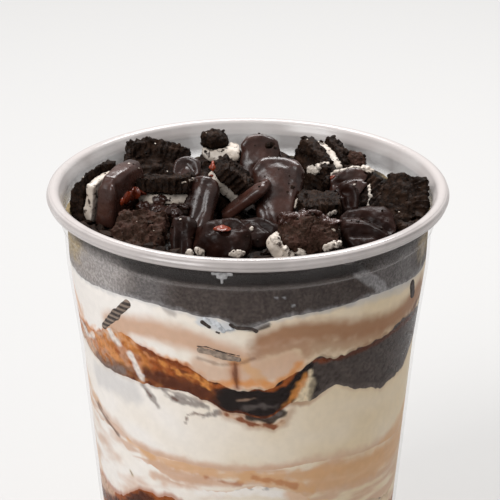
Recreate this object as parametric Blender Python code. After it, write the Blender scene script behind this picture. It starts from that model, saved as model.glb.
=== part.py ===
"""Layered ice cream in a clear plastic cup, under a heap of broken sandwich cookies.

Lengths are named in millimetres and turned into metres by MM. Angles round the cup are in
degrees, 0 at the front (-Y) and growing towards +X. Heights are counted from the table.
"""

import math

import bmesh
import bpy
from mathutils import Matrix, Vector, noise

MM = 0.001
GAP = 0.3
ROUND_STEPS = 48

CUP_HEIGHT = 105.0
WALL = 0.9
FOOT_HEIGHT = 2.5
FOOT_INSIDE = 31.2
FOOT_OUTSIDE = 32.9
FOOT_CHAMFER = 0.5
# Height and outer radius of the wall, from the foot to the stacking ledge and the neck.
WALL_STATIONS = ((0.6, 33.4), (29.0, 36.3), (67.0, 40.1), (87.0, 42.9), (96.2, 43.4))
LEDGE_HEIGHT = 97.0
LEDGE_RADIUS = 44.05
LEDGE_RISE = 0.4
NECK_HEIGHT = 101.3
NECK_RADIUS = 44.2
RIM_RADIUS = 47.5
BEAD_WIDTH = 3.3
BEAD_HEIGHT = 3.2
BEAD_STEPS = 7
BEAD_START = -115.0
BEAD_SWEEP = 285.0

# Where each layer meets the next on the wall: pairs of angle and height.
TOP_OF_CREAM = (
    (-160, 90.5), (-110, 88.9), (-70, 88.5), (-35, 90.2), (-10, 88.8),
    (0, 86.4), (12, 89.0), (40, 90.0), (75, 88.6), (115, 89.8),
)
TOP_OF_UPPER_FUDGE = (
    (-150, 77.0), (-110, 78.5), (-67, 75.2), (-45, 80.3), (-32, 77.0), (-20, 75.8),
    (-11, 70.6), (5, 69.8), (14, 73.6), (19, 78.2), (25, 76.3), (45, 77.5), (64, 79.1),
    (100, 77.5), (135, 74.5),
)
FOOT_OF_UPPER_FUDGE = (
    (-160, 68.0), (-120, 70.5), (-76, 70.7), (-58, 67.5), (-39, 68.1), (-20, 68.2),
    (-8, 64.4), (6, 62.4), (15, 65.7), (20, 68.8), (24, 64.6), (31, 69.2), (41, 66.2),
    (52, 63.4), (66, 64.8), (82, 69.5), (120, 67.0),
)
TOP_OF_SWIRL = (
    (-150, 51.5), (-100, 55.0), (-70, 55.0), (-52, 52.5), (-40, 49.4), (0, 48.6),
    (30, 49.0), (55, 47.6), (73, 46.7), (110, 48.5),
)
FOOT_OF_SWIRL = (
    (-150, 49.0), (-100, 53.0), (-63, 52.2), (-40, 46.6), (-25, 43.4), (-10, 42.8),
    (4, 44.4), (15, 42.6), (26, 39.0), (45, 34.0), (70, 31.5), (110, 37.0), (140, 44.0),
)
TOP_OF_LOWER_FUDGE = (
    (-150, 33.0), (-100, 33.2), (-58, 33.8), (-42, 38.2), (-30, 38.4), (-12, 34.0),
    (10, 31.0), (32, 28.6), (70, 26.8), (115, 29.5),
)
FOOT_OF_LOWER_FUDGE = (
    (-150, 27.0), (-90, 26.0), (-40, 30.5), (0, 25.5), (60, 21.5), (120, 24.0),
)
TOP_OF_CRUMBS = (
    (-160, 96.8), (-110, 98.4), (-60, 100.2), (-20, 100.9), (25, 100.6), (65, 100.3),
    (105, 98.2), (150, 96.6),
)
CRUMBS_MIDDLE = 95.6
CRUMBS_SWEEP = 5
CRUMB_BUMP = 1.2
CRUMB_SIZE = 7.5
CRUMB_SLICE = 0.4
CRUMB_RINGS = (0.22, 0.45, 0.66, 0.86, 1.0)

COOKIE_RADIUS = 22.5
WAFER = 3.6
FLUTES = 94
FLUTE_DEPTH = 0.45
RIDGE_RADIUS = 18.2
RIDGE_HEIGHT = 0.35
FILLING_RADIUS = 20.6
FILLING = 2.4
FILLING_COLUMNS = 72
FILLING_PULL = 0.6
FILLING_TURN = 3.0
BACK_TURN = 4.0
BREAK_KINK = 8.0
BREAK_LEAN = 0.14
WAFER_STEP = (WAFER + FILLING) / 2 + GAP
GLAZED_STEP = 4.2
SLAB_COLUMNS = 12
SLAB_ROWS = 7
SLAB_SQUARENESS = 0.50
LUMP_GRAIN = 1.7
LUMP_ROUGHNESS = 0.22

SAFE_TOP = 130.0
SMALLEST_SCRAP = 1e-6
SMALLEST_EDGE = 1e-4
FLAT_ENOUGH = 0.3
HULL_FLATNESS = 2.0
SHARP_EDGE = 35.0

CUP_LOOK = ((0.80, 0.80, 0.79, 0.35), 0.22)
ICE_CREAM_LOOK = ((0.86, 0.79, 0.68, 1.0), 0.45)
COFFEE_CREAM_LOOK = ((0.80, 0.70, 0.56, 1.0), 0.45)
FUDGE_LOOK = ((0.030, 0.018, 0.015, 1.0), 0.3)
CARAMEL_LOOK = ((0.42, 0.20, 0.08, 1.0), 0.3)
WAFER_LOOK = ((0.022, 0.016, 0.013, 1.0), 0.75)
FILLING_LOOK = ((0.78, 0.72, 0.64, 1.0), 0.5)
GLAZE_LOOK = ((0.060, 0.030, 0.024, 1.0), 0.18)


def clear_scene():
    """Remove whatever the file holds."""
    for leftover in list(bpy.data.objects):
        bpy.data.objects.remove(leftover, do_unlink=True)


def make_material(name, look):
    """A plain material from its colour and roughness."""
    colour, roughness = look
    material = bpy.data.materials.new(name)
    material.use_nodes = True
    shader = material.node_tree.nodes["Principled BSDF"]
    shader.inputs["Base Color"].default_value = colour
    shader.inputs["Alpha"].default_value = colour[3]
    shader.inputs["Roughness"].default_value = roughness
    shader.inputs["Metallic"].default_value = 0.0
    material.diffuse_color = colour
    return material


def add_object(name, mesh_data, material):
    """Turn a bmesh in millimetres into a named object in metres."""
    bmesh.ops.scale(mesh_data, vec=(MM, MM, MM), verts=mesh_data.verts)
    mesh = bpy.data.meshes.new(name)
    mesh_data.to_mesh(mesh)
    mesh_data.free()
    mesh.materials.append(material)
    mesh.shade_smooth()
    mesh.set_sharp_from_angle(angle=math.radians(SHARP_EDGE))
    piece = bpy.data.objects.new(name, mesh)
    bpy.context.scene.collection.objects.link(piece)
    return piece


def between(stations, height):
    """Straight-line value between pairs of position and value."""
    if height <= stations[0][0]:
        return stations[0][1]
    for (low, low_value), (high, high_value) in zip(stations, stations[1:]):
        if height <= high:
            share = (height - low) / (high - low)
            return low_value + (high_value - low_value) * share
    return stations[-1][1]


def filled_radius(height):
    """Radius of what fills the cup, clear of its wall."""
    return between(WALL_STATIONS, height) - WALL - GAP


def wave_height(knots, angle):
    """Height on the wall at an angle, eased from knot to knot round the cup."""
    angle = (angle - knots[0][0]) % 360.0 + knots[0][0]
    closed = list(knots) + [(knots[0][0] + 360.0, knots[0][1])]
    for (start, low), (end, high) in zip(closed, closed[1:]):
        if angle <= end:
            share = (angle - start) / (end - start)
            ease = 0.5 - 0.5 * math.cos(math.pi * share)
            return low + (high - low) * ease
    return closed[-1][1]


def layer_surface(knots, lift):
    """A wavy surface that follows its knots at the wall and calms evenly towards the axis."""
    middle = sum(height for _, height in knots) / len(knots)

    def height_at(angle, share):
        wall = wave_height(knots, angle)
        return middle + (wall - middle) * share + lift

    return height_at


def crumb_surface(lift):
    """The bumpy top of the small crumbs that carry the large pieces."""

    def height_at(angle, share):
        wall = wave_height(TOP_OF_CRUMBS, angle)
        level = CRUMBS_MIDDLE + (wall - CRUMBS_MIDDLE) * share ** CRUMBS_SWEEP
        across = filled_radius(level) * share / CRUMB_SIZE
        turn = math.radians(angle)
        bump = noise.noise(Vector((across * math.sin(turn), across * math.cos(turn), CRUMB_SLICE)))
        return level + CRUMB_BUMP * bump + lift

    return height_at


def floor_surface(height):
    """A level surface."""
    return lambda angle, share: height


def column_points(angle, low, high, rings, rows):
    """Points down one side of a filling: its top, its wall and its underside."""
    points = []
    edge_top = high(angle, 1.0)
    edge_low = low(angle, 1.0)
    for share in rings:
        points.append((filled_radius(edge_top) * share, high(angle, share)))
    for row in range(1, rows):
        level = edge_top + (edge_low - edge_top) * row / rows
        points.append((filled_radius(level), level))
    for share in reversed(rings):
        points.append((filled_radius(edge_low) * share, low(angle, share)))
    return points


def add_band(shape, pair, following):
    """Two triangles between neighbouring columns, split alike on every surface."""
    first, second = pair
    fourth, third = following
    if first.co.xy.length > second.co.xy.length:
        corners = ((first, second, third), (first, third, fourth))
    else:
        corners = ((first, second, fourth), (second, third, fourth))
    for triangle in corners:
        shape.faces.new(triangle)


def filling_between(low, high, rings, rows):
    """A closed disc between two surfaces, as wide as the cup is at each height."""
    shape = bmesh.new()
    crown = shape.verts.new((0.0, 0.0, high(0.0, 0.0)))
    keel = shape.verts.new((0.0, 0.0, low(0.0, 0.0)))
    columns = []
    for step in range(ROUND_STEPS):
        angle = 360.0 * step / ROUND_STEPS
        turn = math.radians(angle)
        points = column_points(angle, low, high, rings, rows)
        column = []
        for radius, height in points:
            place = (radius * math.sin(turn), -radius * math.cos(turn), height)
            column.append(shape.verts.new(place))
        columns.append(column)
    for column, following in zip(columns, columns[1:] + columns[:1]):
        shape.faces.new((crown, column[0], following[0]))
        for index in range(len(column) - 1):
            add_band(shape, column[index:index + 2], following[index:index + 2])
        shape.faces.new((keel, following[-1], column[-1]))
    bmesh.ops.recalc_face_normals(shape, faces=shape.faces)
    return shape


def cup_profile():
    """Half section of the cup: underside, outer wall, rolled rim, inner wall, floor."""
    floor_top = FOOT_HEIGHT + WALL
    outside = [(0.0, FOOT_HEIGHT), (FOOT_INSIDE - FOOT_CHAMFER, FOOT_HEIGHT)]
    outside += [(FOOT_INSIDE, 0.0), (FOOT_OUTSIDE, 0.0)]
    outside += [(radius, height) for height, radius in WALL_STATIONS]
    outside += [(LEDGE_RADIUS, LEDGE_HEIGHT), (NECK_RADIUS, NECK_HEIGHT)]
    bead_radius = RIM_RADIUS - BEAD_WIDTH / 2
    bead_level = CUP_HEIGHT - BEAD_HEIGHT / 2
    bead = []
    for step in range(BEAD_STEPS + 1):
        turn = math.radians(BEAD_START + BEAD_SWEEP * step / BEAD_STEPS)
        radius = bead_radius + BEAD_WIDTH / 2 * math.cos(turn)
        bead.append((radius, bead_level + BEAD_HEIGHT / 2 * math.sin(turn)))
    inside = [(NECK_RADIUS - WALL, NECK_HEIGHT), (LEDGE_RADIUS - WALL, LEDGE_HEIGHT + LEDGE_RISE)]
    inside += [(radius - WALL, height) for height, radius in reversed(WALL_STATIONS[1:])]
    inside += [(between(WALL_STATIONS, floor_top) - WALL, floor_top), (0.0, floor_top)]
    return outside + bead + inside


def make_cup():
    """The clear cup, turned round its axis from its half section."""
    shape = bmesh.new()
    points = [shape.verts.new((radius, 0.0, height)) for radius, height in cup_profile()]
    edges = [shape.edges.new(pair) for pair in zip(points, points[1:])]
    bmesh.ops.spin(
        shape, geom=points + edges, cent=(0, 0, 0), axis=(0, 0, 1),
        angle=2 * math.pi, steps=ROUND_STEPS, use_merge=True,
    )
    bmesh.ops.remove_doubles(shape, verts=shape.verts, dist=SMALLEST_EDGE)
    bmesh.ops.recalc_face_normals(shape, faces=shape.faces)
    return add_object("cup", shape, make_material("clear_plastic", CUP_LOOK))


def make_layer(name, foot, top, material):
    """One layer of the dessert, from the knots under it to the knots on top of it."""
    low = layer_surface(foot, GAP / 2)
    high = layer_surface(top, -GAP / 2)
    shape = filling_between(low, high, (1.0,), 2)
    return add_object(name, shape, material)


def make_base(material):
    """The ice cream at the bottom of the cup, standing on its floor."""
    low = floor_surface(FOOT_HEIGHT + WALL + GAP)
    high = layer_surface(FOOT_OF_LOWER_FUDGE, -GAP / 2)
    shape = filling_between(low, high, (1.0,), 2)
    return add_object("ice_cream_base", shape, material)


def make_crumbs(material):
    """The bed of small cookie crumbs and fudge that the large pieces lie in."""
    low = layer_surface(TOP_OF_CREAM, GAP / 2)
    shape = filling_between(low, crumb_surface(0.0), CRUMB_RINGS, 2)
    return add_object("cookie_crumbs", shape, material)


def make_free_space():
    """The room above the crumbs and inside the wall, which trims each piece."""
    shape = filling_between(crumb_surface(GAP), floor_surface(SAFE_TOP), CRUMB_RINGS, 1)
    space = add_object("free_space", shape, make_material("guide", CUP_LOOK))
    hide_guide(space)
    return space


def hide_guide(guide):
    """Mark an object as a cutter."""
    guide.hide_render = True
    guide.display_type = "WIRE"


def placement(at, face):
    """Where a piece lies, and which way its face looks: azimuth and elevation."""
    azimuth = math.radians(face[0])
    elevation = math.radians(face[1])
    facing = Vector((
        math.sin(azimuth) * math.cos(elevation),
        -math.cos(azimuth) * math.cos(elevation),
        math.sin(elevation),
    ))
    right = Vector((math.cos(azimuth), math.sin(azimuth), 0.0))
    upward = facing.cross(right)
    turned = Matrix((right, upward, facing)).transposed().to_4x4()
    return Matrix.Translation(Vector(at) * MM) @ turned


def close_disc(shape, sides, half):
    """Faces from the middle of a disc's top, down its columns, to the middle of its underside."""
    crown = shape.verts.new((0.0, 0.0, half))
    keel = shape.verts.new((0.0, 0.0, -half))
    for side, following in zip(sides, sides[1:] + sides[:1]):
        shape.faces.new((crown, side[0], following[0]))
        for index in range(len(side) - 1):
            shape.faces.new((side[index], side[index + 1], following[index + 1], following[index]))
        shape.faces.new((keel, following[-1], side[-1]))


def fluted_disc():
    """A whole cookie wafer: flutes round its side and ridges round its face."""
    shape = bmesh.new()
    half = WAFER / 2
    sides = []
    for step in range(2 * FLUTES):
        turn = math.pi * step / FLUTES
        crest = step % 2
        edge = COOKIE_RADIUS - FLUTE_DEPTH * (1 - crest)
        outline = ((RIDGE_RADIUS, half), (edge, half + RIDGE_HEIGHT * crest), (edge, -half))
        sides.append([shape.verts.new((r * math.cos(turn), r * math.sin(turn), z)) for r, z in outline])
    close_disc(shape, sides, half)
    return shape


def plain_disc():
    """The whole round of cream filling."""
    shape = bmesh.new()
    half = FILLING / 2
    sides = []
    for step in range(FILLING_COLUMNS):
        turn = 2 * math.pi * step / FILLING_COLUMNS
        place = (FILLING_RADIUS * math.cos(turn), FILLING_RADIUS * math.sin(turn))
        sides.append([shape.verts.new((*place, half)), shape.verts.new((*place, -half))])
    close_disc(shape, sides, half)
    return shape


def merge_flats(shape):
    """Join faces that lie in one plane."""
    limit = math.radians(FLAT_ENOUGH)
    bmesh.ops.dissolve_limit(shape, angle_limit=limit, verts=shape.verts, edges=shape.edges)


def break_disc(shape, middle, breaks):
    """Keep the part of a disc inside its break lines; each line has a kink and a lean."""
    bmesh.ops.translate(shape, vec=(middle[0], middle[1], 0.0), verts=shape.verts)
    for number, (angle, reach, *own_lean) in enumerate(breaks):
        usual_lean = BREAK_LEAN if number % 2 else -BREAK_LEAN
        lean = own_lean[0] if own_lean else usual_lean
        for kink in (-BREAK_KINK, BREAK_KINK):
            turn = math.radians(angle + kink)
            outward = Vector((math.cos(turn), math.sin(turn), lean)).normalized()
            everything = shape.verts[:] + shape.edges[:] + shape.faces[:]
            bmesh.ops.bisect_plane(
                shape, geom=everything, dist=SMALLEST_EDGE / 10, plane_co=outward * reach,
                plane_no=outward, clear_outer=True,
            )
            rim = [edge for edge in shape.edges if edge.is_boundary]
            bmesh.ops.holes_fill(shape, edges=rim, sides=0)
    bmesh.ops.recalc_face_normals(shape, faces=shape.faces)
    merge_flats(shape)


def broken_wafer(middle, breaks):
    """A fragment of the fluted cookie wafer."""
    shape = fluted_disc()
    break_disc(shape, middle, breaks)
    return shape


def turned_over(shape):
    """The same fragment with its ridged face to the back."""
    bmesh.ops.scale(shape, vec=(1.0, 1.0, -1.0), verts=shape.verts)
    bmesh.ops.reverse_faces(shape, faces=shape.faces)
    return shape


def broken_filling(middle, breaks):
    """A fragment of the cream filling, its breaks pulled in by a little."""
    shape = plain_disc()
    own_breaks = [(angle + FILLING_TURN, reach - FILLING_PULL) for angle, reach in breaks]
    break_disc(shape, middle, own_breaks)
    return shape


def rounded_slab(width, height, thickness, bend, taper):
    """A smooth glazed piece: a squared-off ball that may bend and narrow towards its top."""
    shape = bmesh.new()
    bmesh.ops.create_uvsphere(shape, u_segments=SLAB_COLUMNS, v_segments=SLAB_ROWS, radius=1.0)
    for corner in shape.verts:
        flat = math.hypot(corner.co.x, corner.co.y)
        turn = math.atan2(corner.co.y, corner.co.x)
        reach = flat ** SLAB_SQUARENESS
        across = reach * math.copysign(abs(math.cos(turn)) ** SLAB_SQUARENESS, math.cos(turn))
        along = reach * math.copysign(abs(math.sin(turn)) ** SLAB_SQUARENESS, math.sin(turn))
        deep = math.copysign(abs(corner.co.z) ** SLAB_SQUARENESS, corner.co.z)
        across *= 1.0 - taper * along
        sag = bend * (across * across + 0.5 * along * along)
        corner.co = Vector((across * width / 2, along * height / 2, deep * thickness / 2 - sag))
    return shape


def crumbly_lump(width, height, thickness, fineness):
    """An uneven lump of cookie."""
    shape = bmesh.new()
    bmesh.ops.create_icosphere(shape, subdivisions=fineness, radius=1.0)
    for corner in shape.verts:
        rough = noise.noise(corner.co * LUMP_GRAIN + Vector((width, height, 0.0)))
        swell = 1.0 + LUMP_ROUGHNESS * rough
        size = Vector((width / 2, height / 2, thickness / 2))
        corner.co = corner.co * swell * size
    return shape


def cut(piece, cutter, operation):
    """Cut one piece by another, and drop the loose scraps that this leaves."""
    for solver in ("EXACT", "MANIFOLD"):
        boolean = piece.modifiers.new("cut", "BOOLEAN")
        boolean.operation = operation
        boolean.object = cutter
        boolean.solver = solver
        depsgraph = bpy.context.evaluated_depsgraph_get()
        result = bpy.data.meshes.new_from_object(piece.evaluated_get(depsgraph))
        piece.modifiers.clear()
        if result.polygons:
            break
    shape = bmesh.new()
    shape.from_mesh(result)
    bmesh.ops.remove_doubles(shape, verts=shape.verts, dist=SMALLEST_SCRAP)
    bmesh.ops.dissolve_degenerate(shape, edges=shape.edges, dist=SMALLEST_SCRAP)
    merge_flats(shape)
    keep_largest(shape)
    shape.to_mesh(result)
    shape.free()
    piece.data = result
    result.name = piece.name


def keep_largest(shape):
    """Drop every separate part but the largest."""
    parts = []
    waiting = set(shape.verts)
    while waiting:
        front = [waiting.pop()]
        part = set(front)
        while front:
            corner = front.pop()
            for edge in corner.link_edges:
                other = edge.other_vert(corner)
                if other in waiting:
                    waiting.discard(other)
                    part.add(other)
                    front.append(other)
        parts.append(part)
    parts.sort(key=len, reverse=True)
    for part in parts[1:]:
        bmesh.ops.delete(shape, geom=list(part), context="VERTS")


def swollen_hull(piece):
    """A closed hull round a piece, wider than it by the gap that neighbours keep."""
    shape = bmesh.new()
    for corner in piece.data.vertices:
        shape.verts.new(piece.matrix_world @ corner.co)
    bmesh.ops.convex_hull(shape, input=shape.verts)
    inner = [corner for corner in shape.verts if not corner.link_faces]
    bmesh.ops.delete(shape, geom=inner, context="VERTS")
    limit = math.radians(HULL_FLATNESS)
    bmesh.ops.dissolve_limit(shape, angle_limit=limit, verts=shape.verts, edges=shape.edges)
    bmesh.ops.recalc_face_normals(shape, faces=shape.faces)
    shape.normal_update()
    moves = [(corner, corner.normal * corner.calc_shell_factor() * GAP * MM) for corner in shape.verts]
    for corner, move in moves:
        corner.co += move
    mesh = bpy.data.meshes.new(piece.name + "_hull")
    shape.to_mesh(mesh)
    shape.free()
    hull_piece = bpy.data.objects.new(piece.name + "_hull", mesh)
    bpy.context.scene.collection.objects.link(hull_piece)
    hide_guide(hull_piece)
    return hull_piece


def boxes_meet(first, second):
    """Whether two objects' boxes overlap."""
    corners = []
    for piece in (first, second):
        points = [piece.matrix_world @ Vector(corner) for corner in piece.bound_box]
        low = [min(point[axis] for point in points) for axis in range(3)]
        high = [max(point[axis] for point in points) for axis in range(3)]
        corners.append((low, high))
    (low_a, high_a), (low_b, high_b) = corners
    return all(low_a[axis] < high_b[axis] and low_b[axis] < high_a[axis] for axis in range(3))


class Heap:
    """The pieces laid so far, each of which later pieces keep clear of."""

    def __init__(self):
        self.space = make_free_space()
        self.hulls = []
        self.wafer = make_material("cookie_wafer", WAFER_LOOK)
        self.cream = make_material("cookie_filling", FILLING_LOOK)
        self.glaze = make_material("fudge_glaze", GLAZE_LOOK)

    def lay(self, name, shape, at, face, material, lift=0.0):
        """Place one piece, trim it to the room that is left, and remember its form."""
        piece = add_object(name, shape, material)
        piece.matrix_world = placement(at, face) @ Matrix.Translation((0.0, 0.0, lift * MM))
        bpy.context.view_layer.update()
        hull = swollen_hull(piece)
        cut(piece, self.space, "INTERSECT")
        for other in self.hulls:
            if boxes_meet(piece, other):
                cut(piece, other, "DIFFERENCE")
        self.hulls.append(hull)

    def lay_wafer(self, name, at, face, middle, breaks, lift=0.0):
        """Lay one fragment of wafer."""
        self.lay(name, broken_wafer(middle, breaks), at, face, self.wafer, lift)

    def lay_sandwich(self, name, at, face, middle, breaks):
        """Lay a fragment of the whole cookie: filling, front wafer, back wafer."""
        self.lay(name + "_filling", broken_filling(middle, breaks), at, face, self.cream)
        self.lay(name + "_front", broken_wafer(middle, breaks), at, face, self.wafer, WAFER_STEP)
        back = broken_wafer(middle, [(angle - BACK_TURN, reach) for angle, reach in breaks])
        self.lay(name + "_back", turned_over(back), at, face, self.wafer, -WAFER_STEP)

    def lay_glazed(self, name, at, face, size, bend=0.0, taper=0.0, lift=0.0):
        """Lay one smooth glazed piece."""
        self.lay(name, rounded_slab(*size, bend, taper), at, face, self.glaze, lift)

    def lay_lump(self, name, at, face, size, material, fineness=3):
        """Lay one uneven lump."""
        self.lay(name, crumbly_lump(*size, fineness), at, face, material)

    def clear_guides(self):
        """Remove the cutters once every piece is trimmed."""
        for guide in self.hulls + [self.space]:
            bpy.data.objects.remove(guide, do_unlink=True)


def lay_centre(heap):
    """The pieces in the middle of the heap."""
    heap.lay_glazed("glazed_centre", (7.0, 3.0, 101.4), (-4, 45), (11.6, 18.4, 5.8), 0.9, -0.22)
    heap.lay_sandwich(
        "middle_cookie", (-5.2, 9.0, 101.6), (90, 47), (16.0, 0.0), ((0, 3.0), (90, 5.4), (270, 5.6)),
    )
    heap.lay_glazed("glazed_bar", (-0.4, 2.2, 100.8), (-98, 50), (9.0, 14.6, 3.0))
    heap.lay_glazed("glazed_leaf", (-12.2, -1.5, 99.2), (-25, 35), (8.6, 17.0, 3.4), 0.9)
    heap.lay_glazed("glazed_button", (-14.6, 17.0, 102.0), (-5, 42), (6.8, 6.8, 3.8))
    heap.lay_lump("middle_lump", (2.4, -13.5, 97.2), (0, 80), (13.0, 10.0, 7.4), heap.glaze, 2)


def lay_left(heap):
    """The pieces along the left side."""
    at = (-33.6, 2.0, 98.6)
    face = (62, -3)
    middle = (-3.0, -11.5)
    breaks = ((180, 8.8), (0, 8.0), (270, 9.5), (90, 5.6, -1.3))
    heap.lay_wafer("left_cookie_back", at, face, middle, breaks, -WAFER_STEP)
    filling = broken_filling(middle, ((180, 9.4), (0, 8.6), (270, 9.5)))
    heap.lay("left_cookie_filling", filling, at, face, heap.cream)
    heap.lay_glazed("left_cookie_glazed", at, face, (18.0, 24.0, 5.6), 0.3, 0.04, GLAZED_STEP)
    heap.lay_sandwich(
        "flat_cookie", (-20.0, 3.4, 100.6), (0, 106), (2.0, 16.0), ((180, 6.8), (0, 7.0), (90, 2.0)),
    )
    heap.lay_wafer(
        "back_left_wafer", (-22.0, 22.0, 100.6), (8, 44), (-3.5, -14.8), ((180, 7.6), (0, 8.8), (270, 8.0)),
    )
    heap.lay_wafer(
        "front_left_wafer", (-25.0, -15.0, 99.2), (-12, 60), (0.0, 14.0), ((180, 5.8), (0, 5.8), (90, 5.2)),
    )


def lay_back(heap):
    """The pieces along the back wall."""
    heap.lay_glazed("glazed_back", (3.0, 26.5, 101.0), (6, 30), (10.2, 12.6, 4.6), 0.7, 0.1)
    heap.lay_lump("back_crumb", (-7.8, 30.0, 105.2), (0, 80), (6.8, 6.0, 5.0), heap.wafer, 2)
    heap.lay_lump("back_cream", (-6.2, 28.4, 102.6), (-16, 58), (11.4, 6.8, 4.0), heap.cream, 2)
    heap.lay_wafer(
        "back_wafer", (-6.0, 24.6, 98.2), (-6, 70), (3.0, -15.0), ((180, 5.0), (0, 5.4), (270, 5.0)),
    )
    heap.lay_sandwich(
        "back_right_cookie", (18.4, 25.4, 100.4), (-55, 12), (-14.5, 0.0),
        ((180, 5.0), (66, 4.7), (270, 7.0)),
    )
    heap.lay_lump("back_right_crumb", (25.8, 25.4, 101.2), (0, 40), (5.8, 5.6, 5.4), heap.wafer, 2)


def lay_right(heap):
    """The pieces along the right side."""
    heap.lay_wafer(
        "right_wafer", (35.6, -2.5, 98.6), (-28, 46), (-14.0, -2.0), ((180, 6.4), (90, 10.0), (270, 11.0)),
    )
    heap.lay_wafer(
        "right_back_wafer", (30.4, 8.0, 98.6), (-18, 52), (-13.0, -13.4),
        ((180, 5.4), (0, 5.8), (270, 7.5)),
    )
    heap.lay_glazed("glazed_right", (25.0, 10.5, 100.2), (-8, 48), (11.4, 9.4, 4.4), 0.4)
    heap.lay_wafer(
        "right_fluted_wafer", (17.0, -2.0, 101.0), (8, 92), (0.0, 16.0), ((180, 5.2), (0, 4.8), (90, 5.0)),
    )
    heap.lay_glazed("glazed_curl", (23.0, 1.0, 101.0), (0, 40), (6.4, 7.4, 3.6), 0.8)
    heap.lay_glazed("glazed_front_right", (28.4, -14.5, 99.0), (12, 55), (13.4, 13.0, 5.2), 0.4)


def lay_front(heap):
    """The pieces along the front."""
    heap.lay_lump("front_right_chunk", (13.6, -21.0, 99.6), (0, 70), (15.0, 12.0, 11.4), heap.wafer)
    cream = rounded_slab(8.0, 11.0, 3.0, 0.0, 0.0)
    heap.lay("front_right_cream", cream, (8.6, -25.0, 97.8), (70, 40), heap.cream)
    heap.lay_lump("front_chunk", (-5.6, -23.5, 99.6), (0, 70), (13.8, 11.0, 10.2), heap.glaze)
    heap.lay_glazed("glazed_front_left", (-15.0, -21.5, 99.2), (0, 38), (6.2, 12.5, 5.4))


def make_toppings():
    """The heap of broken cookies and glazed pieces."""
    heap = Heap()
    lay_centre(heap)
    lay_front(heap)
    lay_left(heap)
    lay_right(heap)
    lay_back(heap)
    heap.clear_guides()
    return heap


def make_contents():
    """Everything in the cup under the toppings, from the floor up."""
    ice_cream = make_material("ice_cream", ICE_CREAM_LOOK)
    coffee_cream = make_material("coffee_ice_cream", COFFEE_CREAM_LOOK)
    fudge = make_material("fudge", FUDGE_LOOK)
    caramel = make_material("caramel", CARAMEL_LOOK)
    make_base(coffee_cream)
    make_layer("fudge_lower", FOOT_OF_LOWER_FUDGE, TOP_OF_LOWER_FUDGE, fudge)
    make_layer("ice_cream_lower", TOP_OF_LOWER_FUDGE, FOOT_OF_SWIRL, coffee_cream)
    make_layer("caramel_swirl", FOOT_OF_SWIRL, TOP_OF_SWIRL, caramel)
    make_layer("ice_cream_middle", TOP_OF_SWIRL, FOOT_OF_UPPER_FUDGE, ice_cream)
    make_layer("fudge_upper", FOOT_OF_UPPER_FUDGE, TOP_OF_UPPER_FUDGE, fudge)
    make_layer("ice_cream_top", TOP_OF_UPPER_FUDGE, TOP_OF_CREAM, ice_cream)


def main():
    """Build the whole sundae."""
    clear_scene()
    make_cup()
    make_contents()
    heap = make_toppings()
    make_crumbs(heap.wafer)


main()
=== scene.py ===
"""Dresses the layered cookie sundae: clear cup, layers, crumbs, broken cookies, glaze and sauce.

Lengths in the functions are millimetres unless a name says otherwise. Angles round the cup are
degrees, 0 at the front (-Y) and growing towards +X.
"""

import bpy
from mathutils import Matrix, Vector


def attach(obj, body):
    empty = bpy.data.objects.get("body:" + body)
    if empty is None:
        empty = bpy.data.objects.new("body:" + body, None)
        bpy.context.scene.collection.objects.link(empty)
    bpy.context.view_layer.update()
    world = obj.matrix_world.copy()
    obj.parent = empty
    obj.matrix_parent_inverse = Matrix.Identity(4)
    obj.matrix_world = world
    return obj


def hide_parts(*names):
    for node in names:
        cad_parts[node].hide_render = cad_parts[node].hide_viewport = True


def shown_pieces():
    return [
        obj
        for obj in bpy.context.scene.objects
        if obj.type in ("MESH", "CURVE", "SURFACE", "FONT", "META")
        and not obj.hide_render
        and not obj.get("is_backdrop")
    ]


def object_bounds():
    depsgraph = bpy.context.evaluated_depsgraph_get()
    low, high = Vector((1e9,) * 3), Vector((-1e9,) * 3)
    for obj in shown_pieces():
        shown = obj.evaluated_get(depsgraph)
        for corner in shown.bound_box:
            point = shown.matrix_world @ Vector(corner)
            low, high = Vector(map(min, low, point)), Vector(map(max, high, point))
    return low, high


bl_info = {
    "name": "Cookie sundae in a clear cup",
    "version": (1, 0, 0),
    "blender": (4, 5, 0),
    "location": "3D View > Sidebar > Sundae",
    "description": "Dresses the cup, its layers of ice cream and fudge, and the heap of cookies",
    "category": "Object",
}

import math
import random
from collections import namedtuple

import bpy
import numpy as np
from mathutils import Matrix, Vector, noise
from mathutils.bvhtree import BVHTree

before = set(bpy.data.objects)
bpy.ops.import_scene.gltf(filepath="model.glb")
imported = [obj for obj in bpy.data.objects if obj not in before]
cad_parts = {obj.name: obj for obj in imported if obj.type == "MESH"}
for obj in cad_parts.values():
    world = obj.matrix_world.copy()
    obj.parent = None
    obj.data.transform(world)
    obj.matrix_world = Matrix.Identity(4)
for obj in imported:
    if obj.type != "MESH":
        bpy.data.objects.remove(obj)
CAD_BOX = [list(corner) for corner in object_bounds()]

MM = 0.001
COLUMNS = 600
ROW_HEIGHT = 0.42
TOP_RINGS = 8
BED_RINGS = 74
RING_ANGLES = np.linspace(0.0, 360.0, COLUMNS + 1)
FILLING_FOOT = 3.1
WALL_PER_DEGREE = 0.70

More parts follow.
